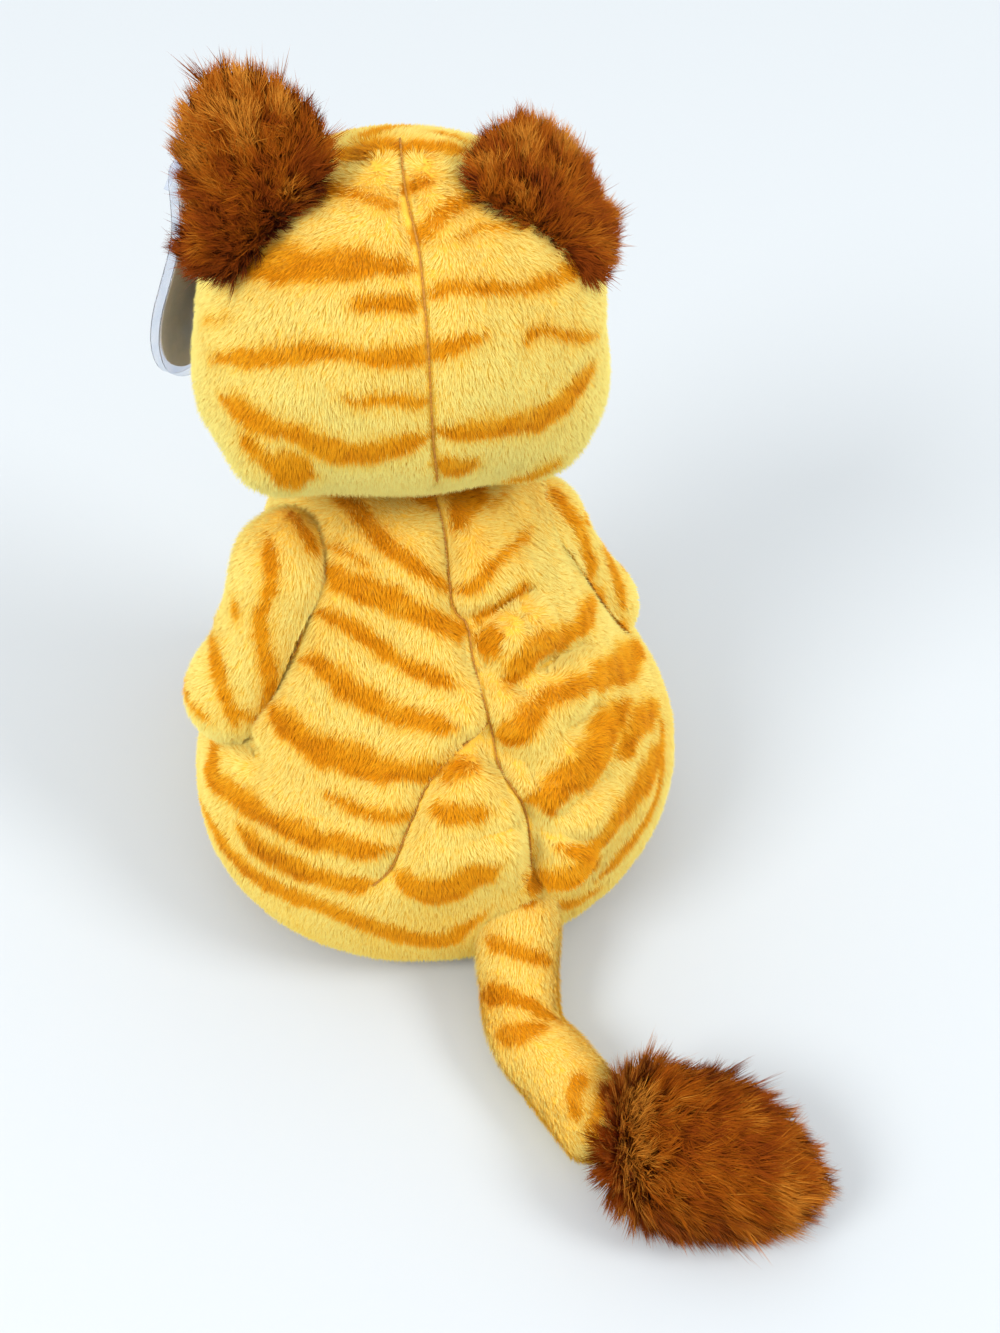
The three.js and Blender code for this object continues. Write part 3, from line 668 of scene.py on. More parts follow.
torso_marks = [
    ([(393, 477), (413, 488), (439, 507)], 17),
    ([(328, 490), (352, 501), (374, 531), (398, 551), (430, 574), (457, 590)], 21),
    ([(322, 540), (346, 550), (372, 568)], 11),
    ([(322, 566), (346, 583), (383, 596), (420, 613), (472, 632)], [34, 24]),
    ([(309, 611), (346, 623), (374, 640), (402, 660), (457, 685)], 20),
    ([(295, 657), (317, 662), (346, 688), (383, 707), (430, 720), (459, 731)], 26),
    ([(268, 705), (294, 731), (323, 747), (364, 763), (425, 773), (448, 764)], [30, 34, 24]),
    ([(472, 478), (463, 504), (453, 532)], [56, 36, 10]), ([(487, 511), (497, 498), (507, 486)], 13),
    ([(454, 592), (478, 583), (495, 562), (519, 538), (534, 524)], [18, 14]),
    ([(473, 627), (485, 614), (513, 598), (534, 585)], 10), ([(476, 638), (486, 640), (500, 634)], 38),
    ([(504, 686), (530, 662), (556, 644), (582, 623), (596, 596)], 19),
    ([(534, 699), (559, 692), (587, 681), (615, 670), (645, 640)], 24),
    ([(495, 736), (519, 736), (534, 714), (548, 697)], 24),
    ([(527, 802), (547, 794), (564, 778), (584, 772), (600, 753), (611, 721), (631, 698)], 31),
    ([(536, 800), (568, 796)], 42), ([(618, 755), (635, 727), (660, 702)], 20),
    ([(662, 712), (664, 755), (658, 800), (636, 840), (598, 882)], 13),
    ([(555, 846), (584, 851), (604, 843), (625, 811), (645, 782), (666, 741)], 19),
    ([(527, 876), (553, 886), (584, 876), (600, 860)], 22), ([(549, 907), (576, 904), (604, 888)], 9),
    ([(321, 790), (353, 806), (384, 816), (415, 814)], 15),
    ([(212, 738), (213, 778), (241, 798), (272, 820), (313, 837), (353, 849), (394, 851)], 22),
    ([(235, 827), (266, 853), (302, 871), (343, 884), (376, 886)], 20),
    ([(198, 798), (211, 827), (237, 863), (272, 888), (313, 904), (353, 920), (404, 937), (445, 941),
      (486, 914)], 16),
    ([(440, 776), (455, 764), (476, 756)], 20), ([(425, 806), (455, 814), (492, 812)], 21),
    ([(392, 875), (421, 892), (455, 888), (498, 869)], 28),
]
arm_marks = [
    ([(265, 531), (272, 581), (260, 618), (265, 655), (272, 692), (263, 709)], 19),
    ([(232, 600), (234, 623)], 9),
    ([(208, 633), (215, 664), (223, 692), (237, 729)], 16), ([(291, 507), (309, 535), (319, 555)], 17),
]
tail_marks = [
    ([(497, 893), (515, 894), (537, 903)], 20), ([(484, 940), (518, 952), (556, 962)], 19),
    ([(477, 994), (505, 994), (531, 1004), (560, 1018)], [28, 20, 8]),
    ([(492, 1035), (520, 1031), (552, 1021)], [30, 20, 8]),
    ([(582, 1070), (573, 1095), (576, 1120)], 19), ([(608, 1086), (594, 1121), (596, 1153)], 18),
]
torso_tree, head_tree = tree_of("torso_skin"), tree_of("head_skin")
stripes = {}
for name, marks in (
        ("head_skin", head_marks), ("torso_skin", torso_marks), ("left_arm_skin", arm_marks),
        ("tail_skin", tail_marks)):
    top_tree = tree_of(name, pile_top)
    cast = [cast_stripe(top_tree, *mark) for mark in marks]
    stripes[name] = [stripe for stripe in cast if stripe]
print("stripes seen in the picture", {name: len(marks) for name, marks in stripes.items()})

# %% Stripes on the sides that the picture doesn't show
plain_face_half_width, plain_face_top, back_of_face = 22, 17, -8
guessed_strength = 0.95
first_belly_band, belly_band_rise, belly_bands_a_side = 20, 11.5, 6


def mirrored(marks, flip, tree, keep=None):
    """The same stripes on another side of a skin, laid back on it by the nearest spot."""
    made = []
    for stripe in marks:
        rows = stripe["line"].copy()
        rows[:, :3] = flip(rows[:, :3])
        if keep:
            rows = rows[keep(rows[:, :3])]
        for row in rows:
            row[:3] = tree.find_nearest(Vector(row[:3]))[0]
        if len(rows) > 2:
            made.append({"line": rows, "strength": stripe["strength"]})
    return made


def head_front(points):
    return head_to_world(world_to_head(points) * [-1, -1, 1])


def clear_of_face(points):
    across, back, up = world_to_head(points).T
    return ((np.abs(across) > plain_face_half_width) | (up > plain_face_top)) & (back < back_of_face)


def belly_bands(tree):
    """Tapering bands that reach from each side towards the plain middle of the belly."""
    made = []
    for side in (-1, 1):
        for number in range(belly_bands_a_side):
            half_width = 2.5 - 0.3 * (number % 3)
            rows = []
            for k, angle in enumerate(np.linspace(1.5, 0.62 + 0.16 * (number % 2), 20)):
                height = first_belly_band + belly_band_rise * number + side * 1.5 - 3.5 * (angle - 1) ** 2
                way = Vector((side * math.sin(angle), -math.cos(angle), 0.05))
                spot = tree.ray_cast(Vector((0, -24, height)), way)[0]
                if spot is not None:
                    rows.append([*spot, half_width * min(1, k / 6 + 0.3, (19 - k) / 9 + 0.2)])
            made.append({"line": np.array(rows), "strength": guessed_strength})
    return made


stripes["torso_skin"] += belly_bands(torso_tree)
stripes["head_skin"] += mirrored(stripes["head_skin"], head_front, head_tree, clear_of_face)
stripes["right_arm_skin"] = mirrored(
    stripes["left_arm_skin"], lambda points: points * [-1, 1, 1], tree_of("right_arm_skin"))


def bands(name, shares, half_width, sweep, phase):
    """Bands that run a share of the way round a limb, with ragged, slanting ends."""
    tree, line = tree_of(name), spines[name]
    made = []
    for number, share in enumerate(shares):
        behind, middle, ahead = at_share(line, np.array([share - 0.02, share, share + 0.02]))
        along = unit(ahead - behind)
        across = unit(np.cross([0.3, 0.2, 1], along))
        over = np.cross(along, across)
        angles = phase + number * 2.4 + np.linspace(0, 2 * math.pi * sweep, 26)
        rows = []
        for k, angle in enumerate(angles):
            slant = 2.2 * math.sin(2 * angle + number)
            aim = middle + 25 * (across * math.cos(angle) + over * math.sin(angle)) + along * slant
            spot = tree.find_nearest(Vector(aim))[0]
            rows.append([*spot, half_width * min(1, k / 5 + 0.3, (25 - k) / 5 + 0.3)])
        made.append({"line": np.array(rows), "strength": guessed_strength})
    return made


for name in ("left", "right"):
    stripes[f"{name}_leg_skin"] = bands(f"{name}_leg_skin", (0.42, 0.56, 0.69, 0.82), 1.9, 0.62, 0.0)
    stripes[f"{name}_arm_skin"] += bands(f"{name}_arm_skin", (0.5, 0.68, 0.84), 1.4, 0.4, 2.5)
print("all stripes", {name: len(marks) for name, marks in stripes.items()})

# %% Tone of the print at any spot
def ripple(points, size, seed):
    """A smooth, repeatable wander between -1 and 1, over bumps of a given size in mm."""
    waves = np.random.default_rng(seed)
    total = np.zeros(len(points))
    for _ in range(6):
        heading = unit(waves.normal(size=3))
        pace = 2 * math.pi / (size * waves.uniform(0.7, 1.6))
        total += np.sin(points @ heading * pace + waves.uniform(0, 2 * math.pi))
    return total / 3.2


# Shares of a stripe's half-width: where its edge starts to fade, and over how much it fades. The
# lower side of a stripe is the harder and the deeper one, by the three changes that follow.
edge_start, edge_fade = 0.62, 0.66
lower_edge_start, lower_edge_fade, lower_depth = 0.14, 0.22, 0.2
# Dye also bleeds a little way out of each stripe
bleed_depth, bleed_reach = 0.24, 1.7


def print_tone(points, marks):
    """0 on plain cloth, up to 1 in the middle of a stripe."""
    tone = np.zeros(len(points))
    wander = 1 + 0.22 * ripple(points, 9, 5) + 0.12 * ripple(points, 3.5, 6)
    for mark in marks:
        line, widths = mark["line"][:, :3], mark["line"][:, 3]
        reach = widths.max() * 1.6 + 2
        low, high = line.min(0) - reach, line.max(0) + reach
        near = np.flatnonzero(((points > low) & (points < high)).all(1))
        if not len(near):
            continue
        gap, where = distance_to_line(points[near], line)
        shares = np.linspace(0, 1, len(line))
        width = np.interp(where, shares, widths) * wander[near]
        thick = np.maximum(width, 0.2)
        below = np.clip((np.interp(where, shares, line[:, 2]) - points[near, 2]) / thick, -1, 1)
        fade = edge_fade - lower_edge_fade * below
        ratio = np.clip((gap / thick - edge_start - lower_edge_start * below) / fade, 0, 1)
        depth = (1 - ratio * ratio * (3 - 2 * ratio)) * mark["strength"] * (0.82 + lower_depth * below)
        # Thin stripes took less dye
        depth *= 0.72 + 0.28 * np.clip(widths.max() / 2.2, 0, 1)
        bleed = bleed_depth * np.exp(-np.maximum(gap - width, 0) / bleed_reach)
        depth = np.maximum(depth, bleed * mark["strength"])
        tone[near] = np.maximum(tone[near], depth)
    return tone * (0.9 + 0.16 * ripple(points, 5, 8))


# %% [markdown]
# ## Materials
# Every finish is named for the real material. Colours are written as they are seen, in hex, and one
# function turns them to linear. One small function adds a node with its settings and links.

# %% Node helper
def colour(text):
    """A hex colour as linear red, green, blue and full cover."""
    parts = [int(text[k:k + 2], 16) / 255 for k in (1, 3, 5)]
    return (*[c / 12.92 if c <= 0.04045 else ((c + 0.055) / 1.055) ** 2.4 for c in parts], 1)


def add_node(material, kind, inputs=None, stops=None, **settings):
    node = material.node_tree.nodes.new(kind)
    for name, value in settings.items():
        setattr(node, name, value)
    for name, value in (inputs or {}).items():
        if isinstance(value, bpy.types.NodeSocket):
            material.node_tree.links.new(value, node.inputs[name])
        else:
            node.inputs[name].default_value = value
    if stops:
        while len(node.color_ramp.elements) < len(stops):
            node.color_ramp.elements.new(0.5)
        for element, (place, tint) in zip(node.color_ramp.elements, stops):
            element.position = place
            element.color = colour(tint)
    return node


def ramp(material, share, stops):
    """Colours picked by a share from 0 to 1."""
    return add_node(material, "ShaderNodeValToRGB", {"Fac": share}, stops).outputs["Color"]


def new_material(name, **finish):
    material = bpy.data.materials.new(name)
    material.use_nodes = True
    shader = material.node_tree.nodes["Principled BSDF"]
    for socket, value in finish.items():
        shader.inputs[socket.replace("_", " ")].default_value = value
    return material, shader


def feed(material, shader, **links):
    for socket, source in links.items():
        material.node_tree.links.new(source, shader.inputs[socket.replace("_", " ")])


# %% Pile: each blade carries its tone and its height on the OFBake map
def pile_material(name, root_stops, tip_stops, sheen_tint):
    material, shader = new_material(
        name, Roughness=0.8, Sheen_Weight=0.07, Sheen_Roughness=0.45, Sheen_Tint=colour(sheen_tint),
        Specular_IOR_Level=0.12)
    spot = add_node(material, "ShaderNodeUVMap", uv_map="OFBake")
    parts = add_node(material, "ShaderNodeSeparateXYZ", {"Vector": spot.outputs["UV"]})
    root = ramp(material, parts.outputs["X"], root_stops)
    tip = ramp(material, parts.outputs["X"], tip_stops)
    rise = add_node(material, "ShaderNodeMapRange", {
        "Value": parts.outputs["Y"], "From Min": 0.1, "From Max": 0.75}, interpolation_type="SMOOTHSTEP")
    # Painted shade and light: each blade is deeper in colour at its root, where shade falls deep in the
    # pile, and paler at its tip
    mix = add_node(material, "ShaderNodeMix", {0: rise.outputs["Result"], 6: root, 7: tip}, data_type="RGBA")
    feed(material, shader, Base_Color=mix.outputs[2])
    return material


# Short cut polyester pile, printed: matt from above, with a pale sheen along its combed tips. Its deeper
# roots and paler tips are painted shade and painted light.
short_pile = pile_material(
    "short_polyester_pile",
    [(0.0, "#FFD048"), (0.35, "#F0A820"), (0.7, "#D08200"), (1.0, "#AC6200")],
    [(0.0, "#FFF08A"), (0.28, "#FFD24A"), (0.6, "#F9AC14"), (0.86, "#F29A02"), (1.0, "#D88000")],
    "#FFE890")
# Long shaggy acrylic pile: dark and reddish at the root and pale at the tips, which is painted shade deep in
# the pile and a painted highlight on the tips
long_pile = pile_material(
    "long_acrylic_pile",
    [(0.0, "#6A2400"), (1.0, "#A65800")],
    [(0.0, "#8A3A00"), (0.5, "#AC5800"), (1.0, "#D48A2C")],
    "#FFB870")
# The same cut pile, undyed, on the muzzle and in the ears
cream_pile = pile_material(
    "undyed_short_pile",
    [(0.0, "#E8CFA0"), (1.0, "#DCC090")],
    [(0.0, "#FFF4D8"), (1.0, "#FFF8E8")],
    "#FFFFFF")


# %% Knitted backing that the pile stands in
def backing_material(name, plain, striped):
    # A warp knit with loops of about 0.9 mm, which shows only where the pile parts
    material, shader = new_material(name, Roughness=0.92, Specular_IOR_Level=0.2)
    place = add_node(material, "ShaderNodeTexCoord").outputs["Object"]
    tone = add_node(material, "ShaderNodeAttribute", attribute_name="print_tone")
    base = ramp(material, tone.outputs["Fac"], [(0.1, plain), (0.8, striped)])
    loops = add_node(material, "ShaderNodeTexVoronoi", {"Vector": place, "Scale": 1100})
    fleck = add_node(material, "ShaderNodeTexNoise", {"Vector": place, "Scale": 420, "Detail": 3})
    shade = add_node(material, "ShaderNodeMapRange", {
        "Value": fleck.outputs["Fac"], "To Min": 0.7, "To Max": 1.15})
    tint = add_node(material, "ShaderNodeMix", {0: 1.0, 6: base, 7: shade.outputs["Result"]},
                    data_type="RGBA", blend_type="MULTIPLY")
    bump = add_node(material, "ShaderNodeBump", {
        "Height": loops.outputs["Distance"], "Strength": 0.5, "Distance": 0.0003})
    feed(material, shader, Base_Color=tint.outputs[2], Normal=bump.outputs["Normal"])
    return material


yellow_backing = backing_material("yellow_knitted_backing", "#FFCE48", "#D88A08")
brown_backing = backing_material("brown_knitted_backing", "#8E4800", "#8E4800")
cream_backing = backing_material("cream_knitted_backing", "#F0DDB4", "#F0DDB4")
print("materials", [material.name for material in bpy.data.materials])

# %% [markdown]
# ## Pile
# Cut pile is countless fibres that stand on a knitted backing and lean the way they were brushed.
# Single fibres are far too fine, so each blade stands for a little bundle of them. Roots are
# scattered evenly over a skin by area, each blade leans along the comb direction and bends towards
# its tip, and neighbouring tips gather into locks. The blades are thin triangles, because there are
# so many of them. None grows under the seat, where it would be pressed flat.

# %% Grow pile on a skin
blades_per_mm2 = {
    "torso": 13, "head": 15, "neck": 6, "limb": 13, "ear": 20, "lining": 10, "tuft": 16, "muzzle": 12}
tip_floor_gap = 0.12
root_depth = 0.25


def scatter(name, kind, lowest=0.0):
    """Roots spread evenly over a skin from a least height up, with the way out of the skin at each."""
    skin = skins[name]
    mesh = skin.data
    mesh.calc_loop_triangles()
    corners = np.empty(len(mesh.loop_triangles) * 3, np.int32)
    mesh.loop_triangles.foreach_get("vertices", corners)
    corners = corners.reshape(-1, 3)
    places, normals = read_places(skin), read_normals(skin)
    a, b, c = (places[corners[:, k]] for k in range(3))
    areas = np.linalg.norm(np.cross(b - a, c - a), axis=1) / 2
    count = int(areas.sum() * blades_per_mm2[kind])
    pick = dice.choice(len(areas), count, p=areas / areas.sum())
    p, q = np.sqrt(dice.random(count))[:, None], dice.random(count)[:, None]
    weights = (1 - p, p * (1 - q), p * q)
    roots = sum(weight * places[corners[pick, k]] for k, weight in enumerate(weights))
    outs = unit(sum(weight * normals[corners[pick, k]] for k, weight in enumerate(weights)))
    high = roots[:, 2] > lowest
    return roots[high], outs[high]


def gather(roots, tips, spacing, share):
    """Moves tips towards the tip of a leading blade nearby, so that they hang in locks."""
    leaders = np.arange(0, len(roots), max(1, int(spacing)))
    tree = KDTree(len(leaders))
    for index in leaders:
        tree.insert(Vector(roots[index]), int(index))
    tree.balance()
    chief = np.array([tree.find(Vector(root))[1] for root in roots])
    return tips + (tips[chief] - tips) * share[:, None]


def triangle_mesh(name, verts, tris):
    """A mesh filled straight from arrays of points in mm and of triangles."""
    mesh = bpy.data.meshes.new(name)
    mesh.vertices.add(len(verts))
    mesh.vertices.foreach_set("co", (verts * mm).ravel())
    mesh.loops.add(tris.size)
    mesh.loops.foreach_set("vertex_index", tris.ravel().astype(np.int32))
    mesh.polygons.add(len(tris))
    mesh.polygons.foreach_set("loop_start", np.arange(0, tris.size, 3, dtype=np.int32))
    mesh.update(calc_edges=True)
    mesh.shade_smooth()
    return mesh


def blades(name, roots, outs, comb, tones, material, length, width, lean=(1.0, 1.0), steps=1,
           lock=(34, 0.14), twist=0.5, ruffle=0.12, soft=0.93, rough=0.05):
    """Thin blades from every root. Lengths and widths are in mm, and leans in radians from upright.

    A lock has a number of blades to each leader and a share by which tips are drawn to its tip. Soft
    and rough say how far a blade's shading follows the skin and how much it strays.
    """
    count = len(roots)
    lengths = length * dice.uniform(0.72, 1.12, count) if np.isscalar(length) else length
    comb = unit(comb - outs * (comb * outs).sum(1)[:, None] + 1e-6)
    aside = np.cross(comb, outs)
    stray = dice.normal(0, ruffle, count)[:, None]
    comb = comb * np.cos(stray) + aside * np.sin(stray)
    aside = np.cross(comb, outs)
    tilt_jitter = dice.normal(0, 0.12, count)
    path = [roots - outs * root_depth]
    for k in range(steps):
        angle = (lean[0] + (lean[1] - lean[0]) * (k + 0.5) / steps + tilt_jitter)[:, None]
        path.append(path[-1] + (outs * np.cos(angle) + comb * np.sin(angle)) * (lengths / steps)[:, None])
    pull = np.clip(dice.normal(lock[1], 0.1, count), 0, 0.85)
    shift = gather(roots, path[-1], lock[0], pull) - path[-1]
    far = np.linalg.norm(shift, axis=1)
    shift *= np.minimum(1, 0.7 * lengths / np.maximum(far, 1e-6))[:, None]
    path = [path[0]] + [spot + shift * (k / steps) ** 1.3 for k, spot in enumerate(path) if k]
    path = [np.column_stack([spot[:, :2], np.maximum(spot[:, 2], tip_floor_gap)]) for spot in path]
    swing = dice.uniform(-twist, twist, count)[:, None]
    flat = aside * np.cos(swing) + comb * np.sin(swing)
    widths = width * dice.uniform(0.7, 1.25, count)
    rings, shares = [], []
    for k in range(steps):
        half = (widths / 2 * (1 - 0.55 * (k / steps) ** 1.5))[:, None]
        rings += [path[k] - flat * half, path[k] + flat * half]
        shares += [k / steps] * 2
    rings.append(path[-1])
    shares.append(1.0)
    per = len(rings)
    verts = np.stack(rings, 1).reshape(-1, 3)
    faces = []
    for k in range(steps - 1):
        low = 2 * k
        faces += [[low, low + 1, low + 3], [low, low + 3, low + 2]]
    faces.append([per - 3, per - 2, per - 1])
    tris = (np.arange(count)[:, None, None] * per + np.array(faces)).reshape(-1, 3)
    mesh = triangle_mesh(name, verts, tris)
    height = np.clip(np.tile(shares, (count, 1)) + dice.normal(0, 0.06, count)[:, None], 0.01, 0.99)
    tone = np.clip(tones + dice.normal(0, 0.05, count), 0.01, 0.99)
    spots = np.stack([np.repeat(tone, per), height.ravel()], 1)
    layer = mesh.uv_layers.new(name="OFBake")
    layer.data.foreach_set("uv", spots[tris.ravel()].ravel())
    facing = unit(np.cross(flat, path[-1] - path[0]))
    sheen = unit(outs * soft + facing * (1 - soft) + dice.normal(0, rough, (count, 3)))
    mesh.normals_split_custom_set_from_vertices(np.repeat(sheen, per, 0).tolist())
    mesh.materials.append(material)
    print(name, count, "blades", len(tris), "triangles")
    return add_object(name, mesh)


def downwards(points, outs, swirl=0.35):
    """Brushed down, with slow swirls."""
    comb = np.tile([0.0, 0.0, -1.0], (len(points), 1))
    side = unit(np.cross(outs, comb) + 1e-6)
    return comb + side * (swirl * ripple(points, 26, 11) + 0.25 * ripple(points, 7, 12))[:, None]


# %% Finish the skins: backing, tone, body and the nodes that they stand for
# Each skin's backing, slot, body and nodes, and how full it is stuffed
finish_of = {
    "torso_skin": (yellow_backing, "yellow_plush", "torso", ["torso_cover"], 0.75),
    "head_skin": (yellow_backing, "yellow_plush", "head", ["head_cover"], 0.85),
    "neck_skin": (yellow_backing, "yellow_plush", "neck", ["neck"], 0.8),
    "muzzle_skin": (cream_backing, "cream_plush", "head", ["muzzle"], 0.8),
    "tuft_skin": (brown_backing, "brown_pile", "tail_tuft", ["tail_tuft"], 0.5),
    "tail_skin": (yellow_backing, "yellow_plush", None, ["tail_root", "tail_end"], 0.7),
}
for side in ("left", "right"):
    finish_of[f"{side}_arm_skin"] = (yellow_backing, "yellow_plush", f"{side}_arm", [f"{side}_arm"], 0.7)
    finish_of[f"{side}_leg_skin"] = (yellow_backing, "yellow_plush", f"{side}_leg", [f"{side}_leg"], 0.75)
    finish_of[f"{side}_ear_skin"] = (brown_backing, "brown_pile", f"{side}_ear", [f"{side}_ear"], 0.4)
    finish_of[f"{side}_ear_lining_pad"] = (
        cream_backing, "cream_plush", f"{side}_ear", [f"{side}_ear_lining"], 0.4)


def carried(piece, body):
    """Rides on its body. A piece with no body of its own is the tail's, and keeps its place in the world."""
    if body:
        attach(piece, body)
    else:
        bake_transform(piece)
    return piece


for name, (material, slot, body, nodes, fill) in finish_of.items():
    skin = skins[name]
    skin.data.materials.append(material)
    tone = skin.data.attributes.new("print_tone", "FLOAT", "POINT")
    tone.data.foreach_set("value", print_tone(read_places(skin), stripes.get(name, [])).astype(np.float32))
    carried(skin, body)
    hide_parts(*nodes)

# %% Short pile on the torso and the head, one piece for each sewn panel
# Painted shade: the torso, tail and legs are painted a deeper tone than the head, as if less lit, and the
# torso deeper still below a height in mm
painted_shade_tones = {"torso_skin": 0.07, "tail_skin": 0.06, "left_leg_skin": 0.06, "right_leg_skin": 0.06}
painted_shade_deepens_below = 48


def seam_gap(points, name):
    return np.min([distance_to_line(points, line)[0] for line in seams[name]], axis=0)


def short_length(points, name, length):
    """Lengths of the pile, which is trimmed away along the seams."""
    near = seam_gap(points, name)
    trimmed = 1 - 0.45 * np.exp(-((near / 1.6) ** 2)) - 0.4 * np.exp(-((near / 0.6) ** 2))
    return length * trimmed * dice.uniform(0.72, 1.12, len(points)) * (1 + 0.1 * ripple(points, 12, 21))


def print_jitter(points, name, comb):
    """The tone a little way down each blade, so that the tips show a stripe where it was seen."""
    spots = points + unit(comb) * 0.9 + dice.normal(0, 0.4, points.shape)
    tone = print_tone(spots, stripes.get(name, []))
    crease_shade = 0.85 * np.exp(-((seam_gap(spots, name) / 0.5) ** 2)) if name in seams else 0
    # Painted shade, deeper low down on the torso, with a slow random wander
    low = np.clip((painted_shade_deepens_below - points[:, 2]) / painted_shade_deepens_below, 0, 1)
    low_shade = 1.4 * low if name == "torso_skin" else 0
    painted_shade = painted_shade_tones.get(name, 0.0) * (1 + low_shade + 0.6 * ripple(points, 22, 9))
    return np.maximum(np.maximum(tone, crease_shade), painted_shade)


def panel_pile(name, body, roots, outs, length, width, swirl, loose=None):
    """Short pile on one panel of a body's skin. It is longer and wilder where it is loose."""
    skin_name = f"{body}_skin"
    comb = downwards(roots, outs, swirl)
    tones = print_jitter(roots, skin_name, comb)
    lengths = short_length(roots, skin_name, length)
    style = {}
    if loose is not None:
        lengths *= 1 + 0.45 * loose
        style = {"lean": (1.0, 1.0 - 0.9 * loose), "ruffle": 0.12 + 0.3 * loose}
    pile = blades(name, roots, outs, comb, tones, short_pile, lengths, width, **style)
    carried(pile, body)


roots, outs = scatter("torso_skin", "torso", 1.2)
body_line = seams["torso_skin"][0]
body_line = body_line[np.argsort(body_line[:, 2])]
is_left = roots[:, 0] > np.interp(roots[:, 2], body_line[:, 2], body_line[:, 0])
is_back = roots[:, 1] > -14
for name, here in (
        ("left_back_panel_pile", is_left & is_back), ("right_back_panel_pile", ~is_left & is_back),
        ("left_belly_panel_pile", is_left & ~is_back), ("right_belly_panel_pile", ~is_left & ~is_back)):
    panel_pile(name, "torso", roots[here], outs[here], 2.3, 0.24, 0.35)

# The head's skin is bare under the eyes, and its pile is loose low down on the back
eye_spots = {"left": (0.38, 0.12), "right": (-0.38, 0.12)}
eye_half = (5.2, 5.2, 3.4)
roots, outs = scatter("head_skin", "head")
bare = np.zeros(len(roots), bool)
for across, up in eye_spots.values():
    bare |= np.linalg.norm(world_to_head(roots) - on_head(across, up, -1)[0], axis=1) < eye_half[0]
roots, outs = roots[~bare], outs[~bare]
across, back, up = world_to_head(roots).T
loose = np.clip((-up - 6) / 20, 0, 1) * (back > -12)
for name, here in (("left_head_panel_pile", across > 0), ("right_head_panel_pile", across <= 0)):
    panel_pile(name, "head", roots[here], outs[here], 2.1, 0.23, 0.25, loose[here])

# %% Short pile on the neck, arms, legs and tail
bare_neck_height = 92
roots, outs = scatter("neck_skin", "neck", bare_neck_height)
pile = blades("neck_pile", roots, outs, downwards(roots, outs), np.zeros(len(roots)), short_pile, 2.0, 0.26)
carried(pile, "neck")


def along_spine(points, name):
    """The way along a limb's middle line, at its nearest spot to each point."""
    line = spines[name]
    tree = KDTree(len(line))
    for index, spot in enumerate(line):
        tree.insert(Vector(spot), index)
    tree.balance()
    index = np.array([tree.find(Vector(point))[1] for point in points])
    ahead = np.minimum(index + 3, len(line) - 1)
    behind = np.maximum(index - 3, 0)
    return unit(line[ahead] - line[behind])


for limb in ("left_arm", "right_arm", "left_leg", "right_leg", "tail"):
    skin_name = f"{limb}_skin"
    roots, outs = scatter(skin_name, "limb", 0.6)
    along = along_spine(roots, skin_name)
    comb = along + 0.3 * ripple(roots, 15, 31)[:, None] * np.cross(outs, along)
    tones = print_jitter(roots, skin_name, comb)
    pile = blades(f"{limb}_pile", roots, outs, comb, tones, short_pile, 2.2, 0.24)
    carried(pile, None if limb == "tail" else limb)

# %% Long pile on the ears and the tuft
shaggy = {"steps": 2, "twist": 1.2, "soft": 0.75, "rough": 0.12}
# Painted light and shade: the leaning right ear is painted lighter than the upright left one, though both
# are the same pile
ear_painted_light = {"left": -0.06, "right": 0.3}
ear_foot_drop, ear_length = 9, 28
tuft_length, tuft_half_width, near_tail_share = 42, 21, 0.3
lining_cover = 1.1


def uneven(lengths, longest, stray_factor):
    """Lengths that vary from hair to hair, with one in twenty-five a long stray."""
    stray = dice.random(len(lengths)) < 0.04
    return lengths * dice.uniform(0.6, longest, len(lengths)) * np.where(stray, stray_factor, 1)


def mottled(tones):
    """Tones that vary from hair to hair, kept between 0 and 1."""
    return np.clip(tones + dice.normal(0, 0.14, len(tones)), 0, 1)


for name, ear in ears.items():
    front, rise = ear["front"] @ head_turn.T, ear["rise"] @ head_turn.T
    lining_tree = tree_of(f"{name}_ear_lining_pad")
    roots, outs = scatter(f"{name}_ear_skin", "ear")
    from_lining = np.array([lining_tree.find_nearest(Vector(root))[3] for root in roots])
    clear = (from_lining > lining_cover) | (outs @ front < 0.2)
    roots, outs = roots[clear], outs[clear]
    foot = head_to_world((ear["pivot"] - ear["rise"] * ear_foot_drop)[None])[0]
    comb = unit(roots - foot)
    comb = comb + 0.5 * ripple(roots, 7, 42)[:, None] * np.cross(outs, comb)
    raised = np.clip(((roots - foot) @ rise) / ear_length, 0, 1)
    lengths = uneven(4.6 + 1.8 * raised, 1.2, 1.6)
    # Painted shade and light: each ear's tone is deeper near its foot and paler up towards its rim, with
    # random mottling
    tones = mottled(ear_painted_light[name] + 0.75 * raised**2.5 + 0.38 * ripple(roots, 5, 41))
    pile = blades(f"{name}_ear_pile", roots, outs, comb, tones, long_pile, lengths, 0.2, lean=(0.5, 1.1),
                  lock=(32, 0.5), ruffle=0.6, **shaggy)
    carried(pile, f"{name}_ear")
    roots, outs = scatter(f"{name}_ear_lining_pad", "lining")
    facing = outs @ front > 0.1
    roots, outs = roots[facing], outs[facing]
    comb, tones = unit(roots - foot), np.zeros(len(roots))
    pile = blades(f"{name}_ear_lining_pile", roots, outs, comb, tones, cream_pile, 2.2, 0.25)
    carried(pile, f"{name}_ear")

